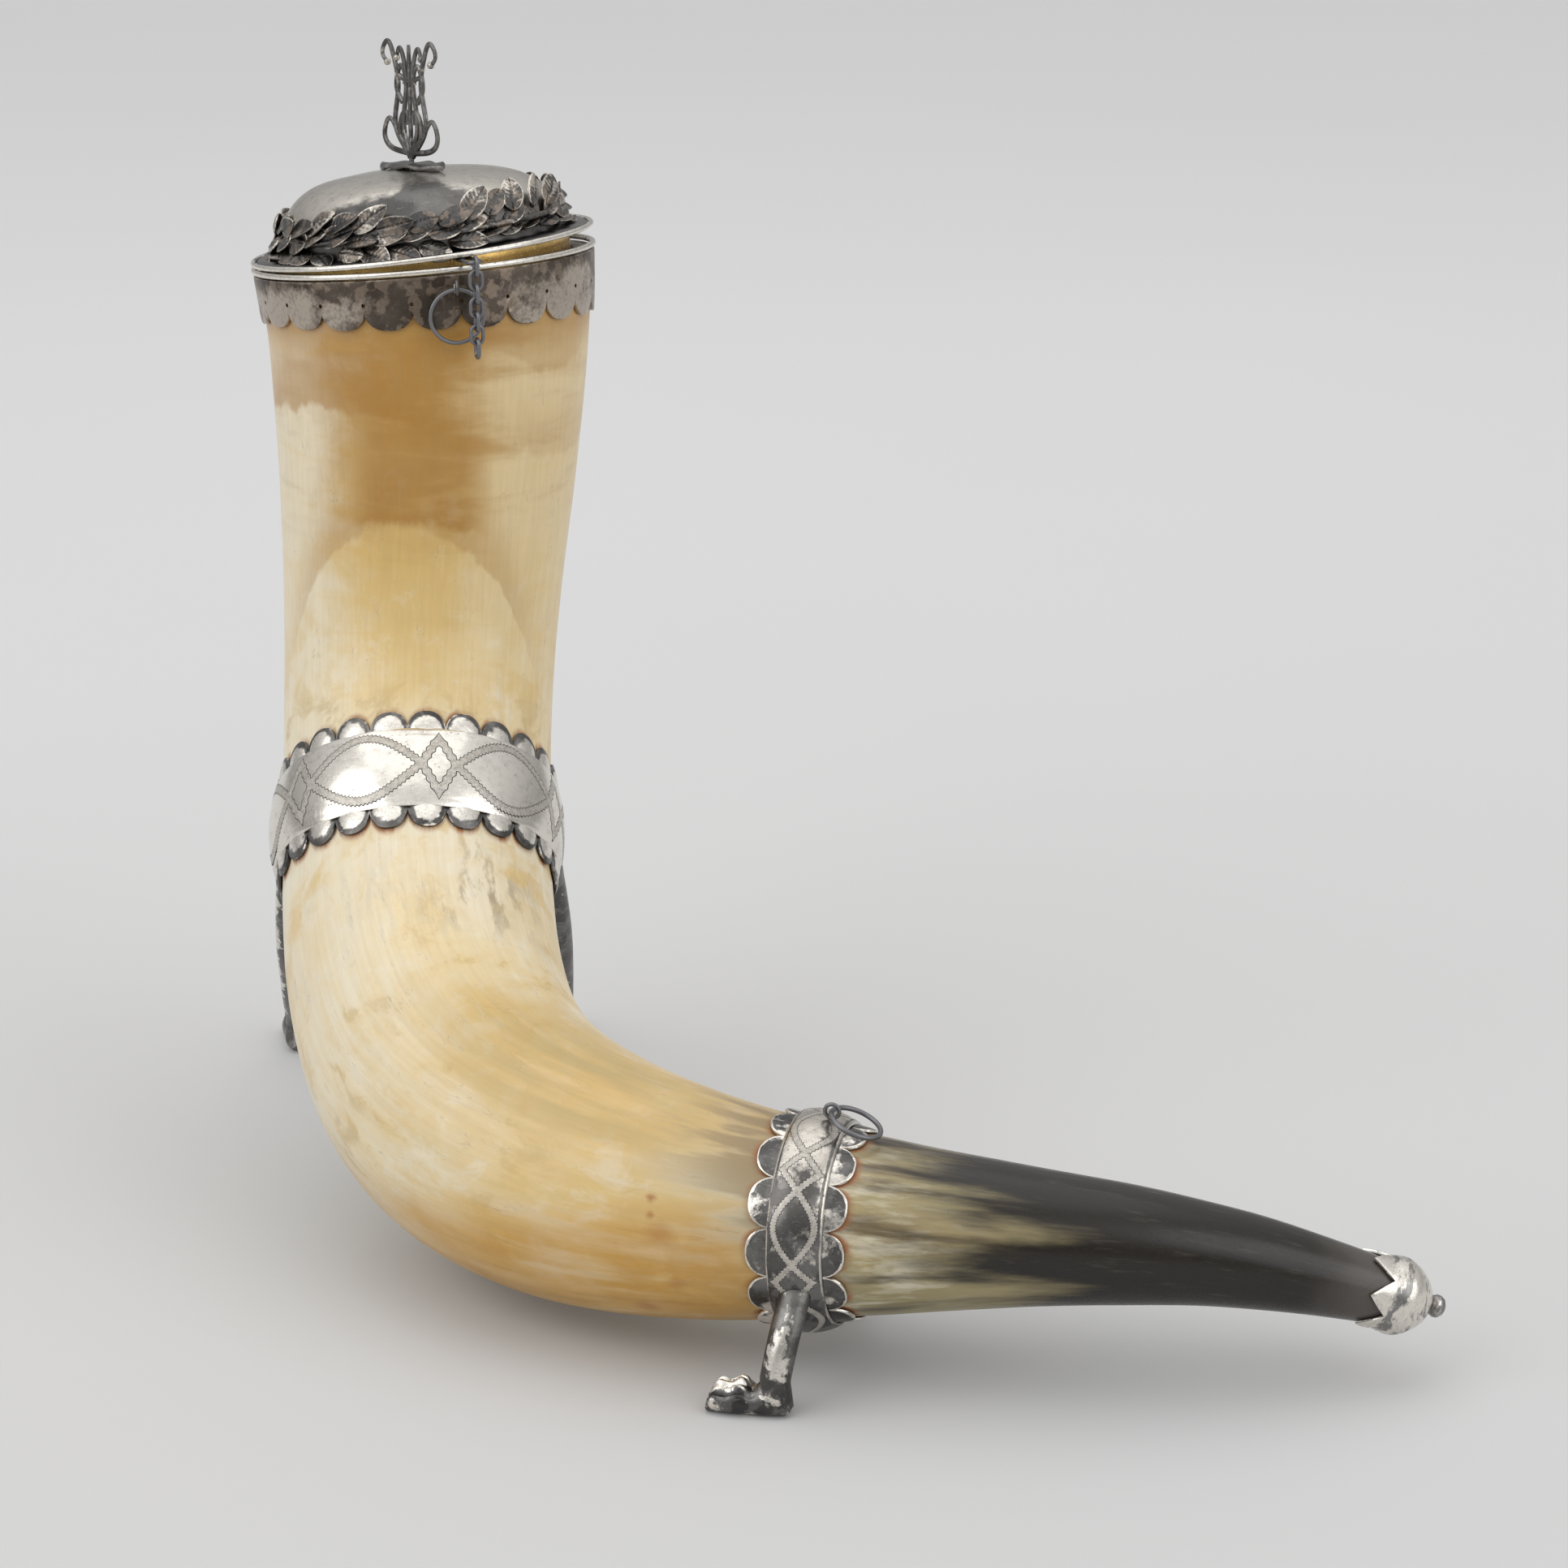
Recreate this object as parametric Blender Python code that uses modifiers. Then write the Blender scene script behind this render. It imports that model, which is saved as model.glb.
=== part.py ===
"""Silver-mounted drinking horn on four paw feet, with a lift-off lid, a keeper chain and two hanging rings.

Metres, +Z up. The photographed front is towards -Y and the dark tip points to +X. The horn is a tapered
sweep along a curved axis. Every mount that wraps it is placed by its distance down that axis and its angle
round it.
"""

import math

import bmesh
import bpy
import numpy as np
from mathutils import Matrix, Vector

# Horn: stations down the curved axis from the mouth to the tip, and the outer radius at each one
HORN_AXIS = (
    (-0.1052, 0.0085, 0.2578),
    (-0.1050, 0.0025, 0.205),
    (-0.108, -0.005, 0.149),
    (-0.108, -0.034, 0.101),
    (-0.103, -0.080, 0.068),
    (-0.085, -0.129, 0.048),
    (-0.045, -0.168, 0.041),
    (0.007, -0.190, 0.0405),
    (0.0625, -0.202, 0.0411),
    (0.1175, -0.204, 0.0357),
    (0.1695, -0.199, 0.0206),
)
HORN_RADII = (0.0487, 0.0445, 0.0405, 0.0395, 0.0396, 0.0390, 0.0343, 0.0264, 0.0190, 0.0133, 0.0075)
MOUTH_DIRECTION = Vector((0.080, -0.097, -1.0)).normalized()
HORN_END = 0.5540
HORN_WALL = 0.0032
HOLLOW_DEPTH = 0.300
HOLLOW_RINGS = 15
HORN_SIDES = 20
HORN_RING_STEP = 0.0115
AXIS_SAMPLES = 600

# What every seated piece keeps to its neighbour
GAP = 0.0003

# Mouth mount: a scalloped sleeve turned over the lip, and a bead on top of it
COLLAR_SHEET = 0.0009
COLLAR_CUSP = 0.0095
COLLAR_LOBE = 0.0055
COLLAR_LOBES = 22
COLLAR_LIP_DEPTH = 0.006
BEAD_WIRE = 0.0009

# Lid
LID_WIRE = 0.0008
LID_SHEET = 0.0010
DOME_RADIUS = 0.0400
DOME_SIDE = 0.0070
DOME_HEIGHT = 0.0215
DOME_STEPS = 5
DOME_BUN = (0.75, 0.9)
BEZEL_DEPTH = 0.010
BEZEL_SHEET = 0.0010
BEZEL_CLEARANCE = 0.0009
LID_TILT = math.radians(2.2)
LID_RAISED_SIDE = math.radians(108)
TURNED_STEPS = 32
WIRE_SIDES = 6

# Laurel wreath on the lid's flange
STEM_WIRE = 0.0009
LEAF_LENGTH = 0.0130
LEAF_WIDTH = 0.0068
LEAF_SHEET = 0.0007
LEAF_CLUSTERS = 14
WREATH_HEIGHT = 0.0060
LEAF_STATIONS = ((-0.05, 0.25, 0.00), (0.30, 0.95, 0.05), (0.62, 0.85, 0.06))
LEAF_ROWS = (
    (0.00, math.radians(30), math.radians(22)),
    (0.36, math.radians(-38), math.radians(58)),
    (0.70, math.radians(10), math.radians(34)),
)

# Finial: an openwork scroll plate on a leaf-shaped saddle, held by a stud and a nut under the dome
FINIAL_HEIGHT = 0.0355
FINIAL_TURN = math.radians(-52)
FINIAL_LEAN = math.radians(6)
SCROLL_BAR = 0.0020
SCROLL_SHEET = 0.0017
SCROLL_ARM = (
    (0.02, 0.04),
    (0.22, 0.28),
    (0.17, 0.58),
    (0.22, 0.84),
    (0.31, 0.97),
    (0.39, 0.88),
    (0.32, 0.80),
)
SCROLL_CURL = ((0.03, 0.07), (0.28, 0.10), (0.39, 0.21), (0.32, 0.34), (0.23, 0.27))
SCROLL_HOOK = ((0.02, 0.05), (0.10, 0.30), (0.05, 0.60), (0.08, 0.84), (0.14, 0.92), (0.18, 0.84))
SCROLL_STEM = ((0.00, 0.00), (0.00, 0.40), (0.00, 0.72))
SCROLL_YOKE = ((-0.17, 0.70), (0.00, 0.66), (0.17, 0.70))
SCROLL_SPIKE = ((0.00, 0.66), (0.00, 0.80), (0.00, 0.95))
SADDLE_LENGTH = 0.033
SADDLE_WIDTH = 0.0095
SADDLE_SHEET = 0.0014
SADDLE_RISE = 0.0016
SADDLE_FLICK = 0.0014
SADDLE_STEPS = 9
SADDLE_TIP = 0.18
STUD_RADIUS = 0.0016
NUT_RADIUS = 0.0042
NUT_HEIGHT = 0.0025

# Rings, their eyes and the keeper chain
EYE_RADIUS = 0.00195
EYE_WIRE = 0.00055
EYE_DROP = 0.0026
EYE_TURN = math.radians(14)
MOUTH_RING_RADIUS = 0.0076
MOUTH_RING_WIRE = 0.0006
TAIL_RING_RADIUS = 0.0070
TAIL_RING_WIRE = 0.0007
CHAIN_TURN = math.radians(19)
CHAIN_LINKS = 7
CHAIN_CLEARANCE = 0.0032
LINK_WIRE = 0.00055
LINK_HALF_WIDTH = 0.00175
LINK_REACH = 0.0053

# Mid mount
MID_AT = 0.172
MID_BAND_WIDTH = 0.0255
MID_BAND_CROWN = 0.0018
MID_LOBE = 0.0060
MID_LOBES = 23

# Tail mount
TAIL_AT = 0.3967
TAIL_BAND_WIDTH = 0.0145
TAIL_BAND_CROWN = 0.0016
TAIL_LOBE = 0.0056
TAIL_LOBES = 13
TAIL_EYE_SHIFT = 0.0033

# Both mounts are a scalloped strip under a convex band
STRIP_SHEET = 0.0008
BAND_SHEET = 0.0007
LOBE_COLUMNS = 4
BAND_SHARES = (-1.0, -0.6, 0.0, 0.6, 1.0)
MID_BAND_COLUMNS = 30
TAIL_BAND_COLUMNS = 24

# Paw feet
LEG_RADIUS = 0.0043
LEG_SIDES = 12
LEG_RINGS = 6
LEG_TAPER = 0.16
KNEE_SHARE = 0.45
PAW_LENGTH = 0.0245
PAW_HEIGHT = 0.0095
PAW_WIDTH = 0.0140
ANKLE = (0.26, 1.05)
PAW_RINGS = (
    (0.17, 0.42, 0.33, 0.68, 0.95, 0.00),
    (0.36, 0.44, 0.40, 0.60, 0.35, 0.00),
    (0.56, 0.42, 0.47, 0.58, 0.05, 0.05),
    (0.76, 0.38, 0.52, 0.52, -0.10, 0.18),
    (0.93, 0.28, 0.46, 0.36, -0.25, 0.22),
)
TOE_GROOVES = (2, 4)
TOE_SETBACK = 0.3
TOE_TIP_HEIGHT = 0.2
LEG_SINK = 0.0014
REAR_SPLAY = -0.0022
REAR_RAKE = 0.072
REAR_BULGE = -0.0010
REAR_BELOW = math.radians(25)
FRONT_SPLAY = 0.005
FRONT_RAKE = -0.0034
FRONT_BULGE = 0.0015
FRONT_BELOW = math.radians(20)
REAR_STANCE = (REAR_SPLAY, REAR_RAKE, REAR_BULGE, REAR_BELOW)
FRONT_STANCE = (FRONT_SPLAY, FRONT_RAKE, FRONT_BULGE, FRONT_BELOW)

# Tip cap
CAP_SHEET = 0.0009
CAP_LENGTH = 0.0205
CAP_PETAL = 0.0060
CAP_PETALS = 6
CAP_NOSE = 0.0070
CAP_OUTLINE = ((0.35, 1.05), (0.68, 0.82), (0.90, 0.48))
BUTTON_RADIUS = 0.0027

SILVER = (0.60, 0.58, 0.55)
TARNISH = (0.30, 0.28, 0.27)
GILT = (0.83, 0.60, 0.24)
GUNMETAL = (0.20, 0.20, 0.21)
HORN_CREAM = (0.80, 0.66, 0.42)

UP = Vector((0.0, 0.0, 1.0))
FRONT = Vector((0.0, -1.0, 0.0))


def clear_scene():
    for obj in list(bpy.data.objects):
        bpy.data.objects.remove(obj, do_unlink=True)


def new_collection(name):
    collection = bpy.data.collections.new(name)
    bpy.context.scene.collection.children.link(collection)
    return collection


def spline_rows(rows, start_slope):
    """Second derivatives of the cubic spline through rows: a given slope at the start, free at the end."""
    count = len(rows)
    matrix = np.zeros((count, count))
    right = np.zeros_like(rows)
    matrix[0, :2] = (2, 1)
    right[0] = 6 * (rows[1] - rows[0] - start_slope)
    matrix[-1, -1] = 1
    for row in range(1, count - 1):
        matrix[row, row - 1 : row + 2] = (1, 4, 1)
        right[row] = 6 * (rows[row + 1] - 2 * rows[row] + rows[row - 1])
    return np.linalg.solve(matrix, right)


def spline_at(rows, bends, place):
    index = min(int(place), len(rows) - 2)
    b = place - index
    a = 1 - b
    curve = ((a**3 - a) * bends[index] + (b**3 - b) * bends[index + 1]) / 6
    return a * rows[index] + b * rows[index + 1] + curve


def curve_through(points, steps):
    rows = np.array([tuple(point) for point in points])
    bends = spline_rows(rows, rows[1] - rows[0])
    places = np.linspace(0, len(rows) - 1, steps + 1)
    return [Vector(spline_at(rows, bends, place)) for place in places]


class HornAxis:
    """The horn's centre line, sampled by distance from the mouth, with a frame that doesn't twist."""

    def __init__(self):
        rows = np.array([(*point, radius) for point, radius in zip(HORN_AXIS, HORN_RADII)])
        first_step = np.linalg.norm(rows[1, :3] - rows[0, :3])
        slope = np.array((*(MOUTH_DIRECTION * first_step), rows[1, 3] - rows[0, 3]))
        bends = spline_rows(rows, slope)
        places = np.linspace(0, len(rows) - 1, AXIS_SAMPLES)
        samples = np.array([spline_at(rows, bends, place) for place in places])
        self.points = samples[:, :3]
        self.radii = samples[:, 3]
        steps = np.linalg.norm(np.diff(self.points, axis=0), axis=1)
        self.distance = np.concatenate(([0.0], np.cumsum(steps)))
        tangents = np.gradient(self.points, self.distance, axis=0)
        self.tangents = tangents / np.linalg.norm(tangents, axis=1)[:, None]
        self.fronts = self.carried_fronts()
        self.bends = np.gradient(self.tangents, self.distance, axis=0)

    def carried_fronts(self):
        fronts = []
        front = np.array(FRONT)
        for tangent in self.tangents:
            front = front - tangent * np.dot(front, tangent)
            front = front / np.linalg.norm(front)
            fronts.append(front)
        return np.array(fronts)

    def read(self, table, s):
        return Vector([np.interp(s, self.distance, table[:, column]) for column in range(3)])

    def frame(self, s):
        """Centre, direction towards the tip, front and side at distance s; straight on past either end."""
        inside = min(max(s, 0.0), self.distance[-1])
        along = self.read(self.tangents, inside).normalized()
        front = self.read(self.fronts, inside)
        front = (front - along * front.dot(along)).normalized()
        centre = self.read(self.points, inside) + along * (s - inside)
        return centre, along, front, along.cross(front)

    def radius(self, s):
        return float(np.interp(s, self.distance, self.radii))

    def point(self, s, turn, radius):
        centre, _, front, side = self.frame(s)
        return centre + (front * math.cos(turn) + side * math.sin(turn)) * radius

    def give(self, s, turn):
        """Length on the surface for a unit of length on the axis: under 1 on the inside of a bend."""
        _, _, front, side = self.frame(s)
        outward = front * math.cos(turn) + side * math.sin(turn)
        return 1 - self.radius(s) * self.read(self.bends, s).dot(outward)

    def turn_of(self, s, direction):
        _, _, front, side = self.frame(s)
        return math.atan2(direction.dot(side), direction.dot(front))


def finish(name, mesh, material, smooth_angle=40):
    mesh.shade_smooth()
    mesh.set_sharp_from_angle(angle=math.radians(smooth_angle))
    obj = bpy.data.objects.new(name, mesh)
    obj.data.materials.append(material)
    return obj


def mesh_of(name, bm):
    bmesh.ops.recalc_face_normals(bm, faces=bm.faces[:])
    mesh = bpy.data.meshes.new(name)
    bm.to_mesh(mesh)
    bm.free()
    return mesh


def skin(bm, rings, round_the_loop, round_the_rings):
    """Joins rings of points with quads; a ring of one point is a pole."""
    loops = [[bm.verts.new(point) for point in ring] for ring in rings]
    pairs = list(zip(loops, loops[1:]))
    if round_the_rings:
        pairs.append((loops[-1], loops[0]))
    for low, high in pairs:
        count = max(len(low), len(high))
        for index in range(count if round_the_loop else count - 1):
            after = (index + 1) % count
            near = [low[index % len(low)], low[after % len(low)]]
            far = [high[after % len(high)], high[index % len(high)]]
            bm.faces.new(list(dict.fromkeys(near + far)))
    return loops


def wrapped(name, axis, profile, columns, closed, material):
    """Sweeps a profile round the horn's axis; profile(turn) gives pairs of distance and radius."""
    turns = [2 * math.pi * column / columns for column in range(columns)]
    outlines = [profile(turn) for turn in turns]
    rings = []
    for row in range(len(outlines[0])):
        ring = [axis.point(outline[row][0], turn, outline[row][1]) for turn, outline in zip(turns, outlines)]
        rings.append(ring[:1] if outlines[0][row][1] == 0 else ring)
    bm = bmesh.new()
    skin(bm, rings, True, closed)
    return finish(name, mesh_of(name, bm), material)


def turned(name, profile, matrix, material, steps=TURNED_STEPS):
    """A closed profile in the X-Z plane, listed down its outer side, turned about Z."""
    mesh = bpy.data.meshes.new(name)
    count = len(profile)
    edges = [(index, (index + 1) % count) for index in range(count)]
    mesh.from_pydata([(radius, 0, height) for radius, height in profile], edges, [])
    obj = bpy.data.objects.new(name, mesh)
    obj.data.materials.append(material)
    obj.matrix_world = matrix
    screw = obj.modifiers.new("turn", "SCREW")
    screw.steps = steps
    screw.render_steps = steps
    screw.use_merge_vertices = True
    screw.merge_threshold = 0.00001
    screw.use_smooth_shade = True
    return obj


def wire_ring(name, radius, wire, matrix, material, steps):
    bpy.ops.mesh.primitive_torus_add(
        major_radius=radius, minor_radius=wire, major_segments=steps, minor_segments=WIRE_SIDES
    )
    obj = bpy.context.object
    for collection in list(obj.users_collection):
        collection.objects.unlink(obj)
    obj.name = name
    obj.data.shade_smooth()
    obj.data.materials.append(material)
    obj.matrix_world = matrix
    return obj


def wire_loop(name, points, wire, matrix, material):
    """A closed wire along points, as a bevelled curve."""
    curve = bpy.data.curves.new(name, "CURVE")
    curve.dimensions = "3D"
    curve.bevel_depth = wire
    curve.bevel_resolution = 1
    spline = curve.splines.new("POLY")
    spline.points.add(len(points) - 1)
    for target, point in zip(spline.points, points):
        target.co = (*point, 1.0)
    spline.use_cyclic_u = True
    obj = bpy.data.objects.new(name, curve)
    obj.data.materials.append(material)
    obj.matrix_world = matrix
    return obj


def stadium(reach, half_width, end_points=5):
    """A long round loop in the X-Z plane that hangs down from the origin to -reach."""
    points = []
    for centre, start in ((-half_width, 0.0), (half_width - reach, math.pi)):
        for step in range(end_points + 1):
            turn = start + math.pi * step / end_points
            points.append((half_width * math.cos(turn), 0.0, centre + half_width * math.sin(turn)))
    return points


def basis(origin, x_axis, z_axis):
    """A matrix with its Z along z_axis and its X as near x_axis as it can be."""
    z = z_axis.normalized()
    x = (x_axis - z * x_axis.dot(z)).normalized()
    y = z.cross(x)
    matrix = Matrix((x, y, z)).transposed().to_4x4()
    matrix.translation = origin
    return matrix


def add_boolean(obj, name, operation, other, self_crossing=False):
    modifier = obj.modifiers.new(name, "BOOLEAN")
    modifier.operation = operation
    modifier.solver = "EXACT"
    modifier.use_self = self_crossing
    modifier.object = other


def lobe_height(turn, lobes, depth):
    """Height of a row of round lobes at an angle: nothing at a cusp and depth at a lobe's middle."""
    across = (turn * lobes / (2 * math.pi)) % 1.0
    return depth * math.sqrt(max(0.0, 1 - (2 * across - 1) ** 2))


class Builder:
    def __init__(self):
        self.axis = HornAxis()
        self.parts = new_collection("drinking_horn")
        self.cutters = new_collection("cutters")
        self.materials = {}
        self.root = bpy.data.objects.new("drinking_horn_origin", None)
        self.parts.objects.link(self.root)
        self.mouth_radius = self.axis.radius(0.0)
        self.collar_outer = self.mouth_radius + GAP + COLLAR_SHEET
        self.hollow_radius = (self.mouth_radius - HORN_WALL) * math.cos(math.pi / HORN_SIDES)
        self.collar_inner = self.hollow_radius - GAP - COLLAR_SHEET
        self.collar_top = GAP + COLLAR_SHEET
        centre, along, _, _ = self.axis.frame(0.0)
        self.mouth = basis(centre, Vector((1, 0, 0)), -along)
        self.bead_radius = self.collar_outer - GAP
        self.bead_height = self.collar_top + GAP + BEAD_WIRE
        self.lid = self.lid_matrix()

    def material(self, name, colour, roughness, metallic):
        if name not in self.materials:
            material = bpy.data.materials.new(name)
            material.use_nodes = True
            shader = material.node_tree.nodes["Principled BSDF"]
            shader.inputs["Base Color"].default_value = (*colour, 1)
            shader.inputs["Roughness"].default_value = roughness
            shader.inputs["Metallic"].default_value = metallic
            material.diffuse_color = (*colour, 1)
            self.materials[name] = material
        return self.materials[name]

    def silver(self):
        return self.material("polished_silver", SILVER, 0.25, 1.0)

    def tarnished(self):
        return self.material("tarnished_silver", TARNISH, 0.42, 1.0)

    def gunmetal(self):
        return self.material("dark_wire", GUNMETAL, 0.38, 1.0)

    def add(self, obj):
        self.parts.objects.link(obj)
        bpy.context.view_layer.update()
        world = obj.matrix_world.copy()
        obj.parent = self.root
        obj.matrix_world = world
        return obj

    def helper(self, obj):
        self.cutters.objects.link(obj)
        obj.parent = self.root
        obj.hide_render = True
        obj.display_type = "WIRE"
        return obj

    def round_mouth(self, turn):
        """Outward direction at an angle to the right of the front, in the mouth's own frame."""
        return Vector((math.sin(turn), -math.cos(turn), 0.0))

    def lid_matrix(self):
        """The lid stands on the bead at one side and is propped up at the other, over the chain."""
        height = self.bead_height + BEAD_WIRE + GAP + LID_WIRE
        seat = self.round_mouth(LID_RAISED_SIDE + math.pi) * self.bead_radius + UP * height
        hinge = UP.cross(self.round_mouth(LID_RAISED_SIDE))
        tip_up = Matrix.Rotation(-LID_TILT, 4, hinge)
        propped = Matrix.Translation(seat) @ tip_up @ Matrix.Translation(UP * height - seat)
        return self.mouth @ propped

    def horn_body(self):
        axis = self.axis
        outer = np.linspace(HORN_END, 0.0, math.ceil(HORN_END / HORN_RING_STEP))
        inner = np.linspace(0.0, 1.0, HOLLOW_RINGS) ** 1.5
        outline = [(HORN_END, 0.0)] + [(s, axis.radius(s)) for s in outer]
        for share in inner[:-1]:
            s = HOLLOW_DEPTH * math.sin(share * math.pi / 2)
            outline.append((s, (axis.radius(s) - HORN_WALL) * math.cos(share * math.pi / 2)))
        outline.append((HOLLOW_DEPTH, 0.0))
        cream = self.material("horn", HORN_CREAM, 0.35, 0.0)
        self.add(wrapped("horn_body", axis, lambda turn: outline, HORN_SIDES, False, cream))

    def mouth_collar(self):
        outer = self.collar_outer
        fit = self.mouth_radius + GAP
        lip_out = self.hollow_radius - GAP
        lip_in = self.collar_inner

        def profile(turn):
            edge = COLLAR_CUSP + lobe_height(turn, COLLAR_LOBES, COLLAR_LOBE)
            flare = self.axis.radius(edge) - self.mouth_radius
            return [
                (-self.collar_top, outer),
                (COLLAR_CUSP / 2, outer + self.axis.radius(COLLAR_CUSP / 2) - self.mouth_radius),
                (edge, outer + flare),
                (edge, fit + flare),
                (-GAP, fit),
                (-GAP, lip_out),
                (COLLAR_LIP_DEPTH, lip_out + self.inner_taper(COLLAR_LIP_DEPTH)),
                (COLLAR_LIP_DEPTH, lip_in + self.inner_taper(COLLAR_LIP_DEPTH)),
                (-self.collar_top, lip_in),
            ]

        columns = COLLAR_LOBES * LOBE_COLUMNS
        self.add(wrapped("mouth_collar", self.axis, profile, columns, True, self.tarnished()))

    def inner_taper(self, s):
        """How much the hollow narrows between the lip and distance s."""
        share = math.sqrt(1 - (s / HOLLOW_DEPTH) ** 2)
        return (self.axis.radius(s) - HORN_WALL) * share - (self.mouth_radius - HORN_WALL)

    def rim_bead(self):
        place = self.mouth @ Matrix.Translation(UP * self.bead_height)
        self.add(wire_ring("rim_bead", self.bead_radius, BEAD_WIRE, place, self.silver(), TURNED_STEPS))

    def dome_profile(self, radius, height):
        """Quarter of a bun-shaped dome, from the top centre down to the foot of its upright side."""
        outline = []
        side = DOME_SIDE
        for step in range(DOME_STEPS + 1):
            turn = math.pi / 2 * (1 - step / DOME_STEPS)
            out = radius * math.cos(turn) ** DOME_BUN[0]
            outline.append((out, side + (height - side) * math.sin(turn) ** DOME_BUN[1]))
        return outline

    def lid_pieces(self):
        flange = self.bead_radius - LID_WIRE - GAP
        half = LID_SHEET / 2
        hole = STUD_RADIUS + GAP
        outer = self.dome_profile(DOME_RADIUS, DOME_HEIGHT)
        outer = [point for point in outer if point[0] > hole]
        inner = self.dome_profile(DOME_RADIUS - LID_SHEET, DOME_HEIGHT - LID_SHEET)
        inner = [point for point in inner if point[0] > hole]
        profile = [(hole, DOME_HEIGHT)] + outer + [(DOME_RADIUS, half), (flange, half), (flange, -half)]
        profile += [(DOME_RADIUS - LID_SHEET, -half)] + inner[::-1] + [(hole, DOME_HEIGHT - LID_SHEET)]
        self.add(turned("lid_shell", profile, self.lid, self.tarnished()))
        edge = wire_ring("lid_edge_wire", self.bead_radius, LID_WIRE, self.lid, self.silver(), TURNED_STEPS)
        self.add(edge)
        top = -half - GAP
        bezel = self.collar_inner - BEZEL_CLEARANCE
        ring = [(bezel, top), (bezel, top - BEZEL_DEPTH), (bezel - BEZEL_SHEET, top - BEZEL_DEPTH)]
        ring.append((bezel - BEZEL_SHEET, top))
        self.add(turned("lid_bezel", ring, self.lid, self.material("gilt_silver", GILT, 0.3, 1.0)))

    def leaf(self, bm, matrix):
        """A thin pointed leaf along +X, with a raised midrib."""
        rings = []
        for share, width, lift in LEAF_STATIONS:
            half = width * LEAF_WIDTH / 2
            x = share * LEAF_LENGTH
            z = lift * LEAF_LENGTH
            rib = LEAF_SHEET / 2
            ring = ((x, half, z), (x, 0, z + 2 * rib), (x, -half, z), (x, 0, z - rib))
            rings.append([matrix @ Vector(point) for point in ring])
        rings.append([matrix @ Vector((LEAF_LENGTH, 0, 0))])
        loops = skin(bm, rings, True, False)
        bm.faces.new(loops[0])

    def wreath(self):
        stem_radius = DOME_RADIUS + GAP + STEM_WIRE
        place = self.lid @ Matrix.Translation(UP * WREATH_HEIGHT)
        stem = wire_ring("wreath", stem_radius, STEM_WIRE, place, self.tarnished(), TURNED_STEPS)
        bm = bmesh.new()
        for cluster in range(LEAF_CLUSTERS):
            for offset, climb, lean in LEAF_ROWS:
                turn = 2 * math.pi * (cluster + offset) / LEAF_CLUSTERS
                out = self.round_mouth(turn)
                along = UP.cross(out)
                face = out * math.cos(lean) + UP * math.sin(lean)
                heading = along * math.cos(climb) + face.cross(along) * math.sin(climb)
                self.leaf(bm, basis(out * stem_radius, heading, face))
        leaves = bpy.data.objects.new("wreath_leaves", mesh_of("wreath_leaves", bm))
        leaves.matrix_world = stem.matrix_world
        self.helper(leaves)
        add_boolean(stem, "leaves", "UNION", leaves, self_crossing=True)
        self.add(stem)

    def ribbon(self, bm, path, width, sheet):
        """A flat bar along a path in the X-Z plane, with square ends."""
        rings = []
        for index, point in enumerate(path):
            ahead = path[min(index + 1, len(path) - 1)] - path[max(index - 1, 0)]
            across = Vector((-ahead.z, 0, ahead.x)).normalized() * width / 2
            through = Vector((0, sheet / 2, 0))
            corners = (across + through, across - through, -across - through, -across + through)
            rings.append([point + corner for corner in corners])
        loops = skin(bm, rings, True, False)
        bm.faces.new(loops[0])
        bm.faces.new(loops[-1])

    def scroll(self, bm, path, steps, side, width_share, sheet_share):
        """One bar of the finial along a path given in shares of its height, on one side of its middle."""
        points = [Vector((side * x, 0, z)) * FINIAL_HEIGHT for x, z in path]
        self.ribbon(bm, curve_through(points, steps), SCROLL_BAR * width_share, SCROLL_SHEET * sheet_share)

    def finial(self):
        """A lyre of mirrored scrolls, bent to one side, on a saddle that fits the top of the dome."""
        saddle_base = DOME_HEIGHT + GAP
        place = self.lid @ Matrix.Rotation(FINIAL_TURN, 4, "Z") @ Matrix.Translation(UP * saddle_base)
        self.saddle(place)
        bm = bmesh.new()
        for side in (1, -1):
            self.scroll(bm, SCROLL_ARM, 13, side, 1.0, 0.98)
            self.scroll(bm, SCROLL_CURL, 9, side, 1.0, 0.96)
            self.scroll(bm, SCROLL_HOOK, 10, side, 0.9, 0.92)
        self.scroll(bm, SCROLL_SPIKE, 3, 1, 1.0, 0.94)
        foot = self.lid @ Matrix.Translation(UP * (saddle_base + SADDLE_SHEET + GAP))
        seat = foot @ Matrix.Rotation(FINIAL_LEAN, 4, "Y") @ Matrix.Rotation(FINIAL_TURN, 4, "Z")
        arms = bpy.data.objects.new("finial_arms", mesh_of("finial_arms", bm))
        arms.matrix_world = seat
        self.helper(arms)
        bm = bmesh.new()
        self.scroll(bm, SCROLL_STEM, 6, 1, 1.2, 1.0)
        self.scroll(bm, SCROLL_YOKE, 4, 1, 1.0, 0.9)
        scrolls = finish("finial_scrolls", mesh_of("finial_scrolls", bm), self.tarnished())
        scrolls.matrix_world = seat
        add_boolean(scrolls, "arms", "UNION", arms, self_crossing=True)
        self.add(scrolls)
        self.finial_nut(place)

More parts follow.
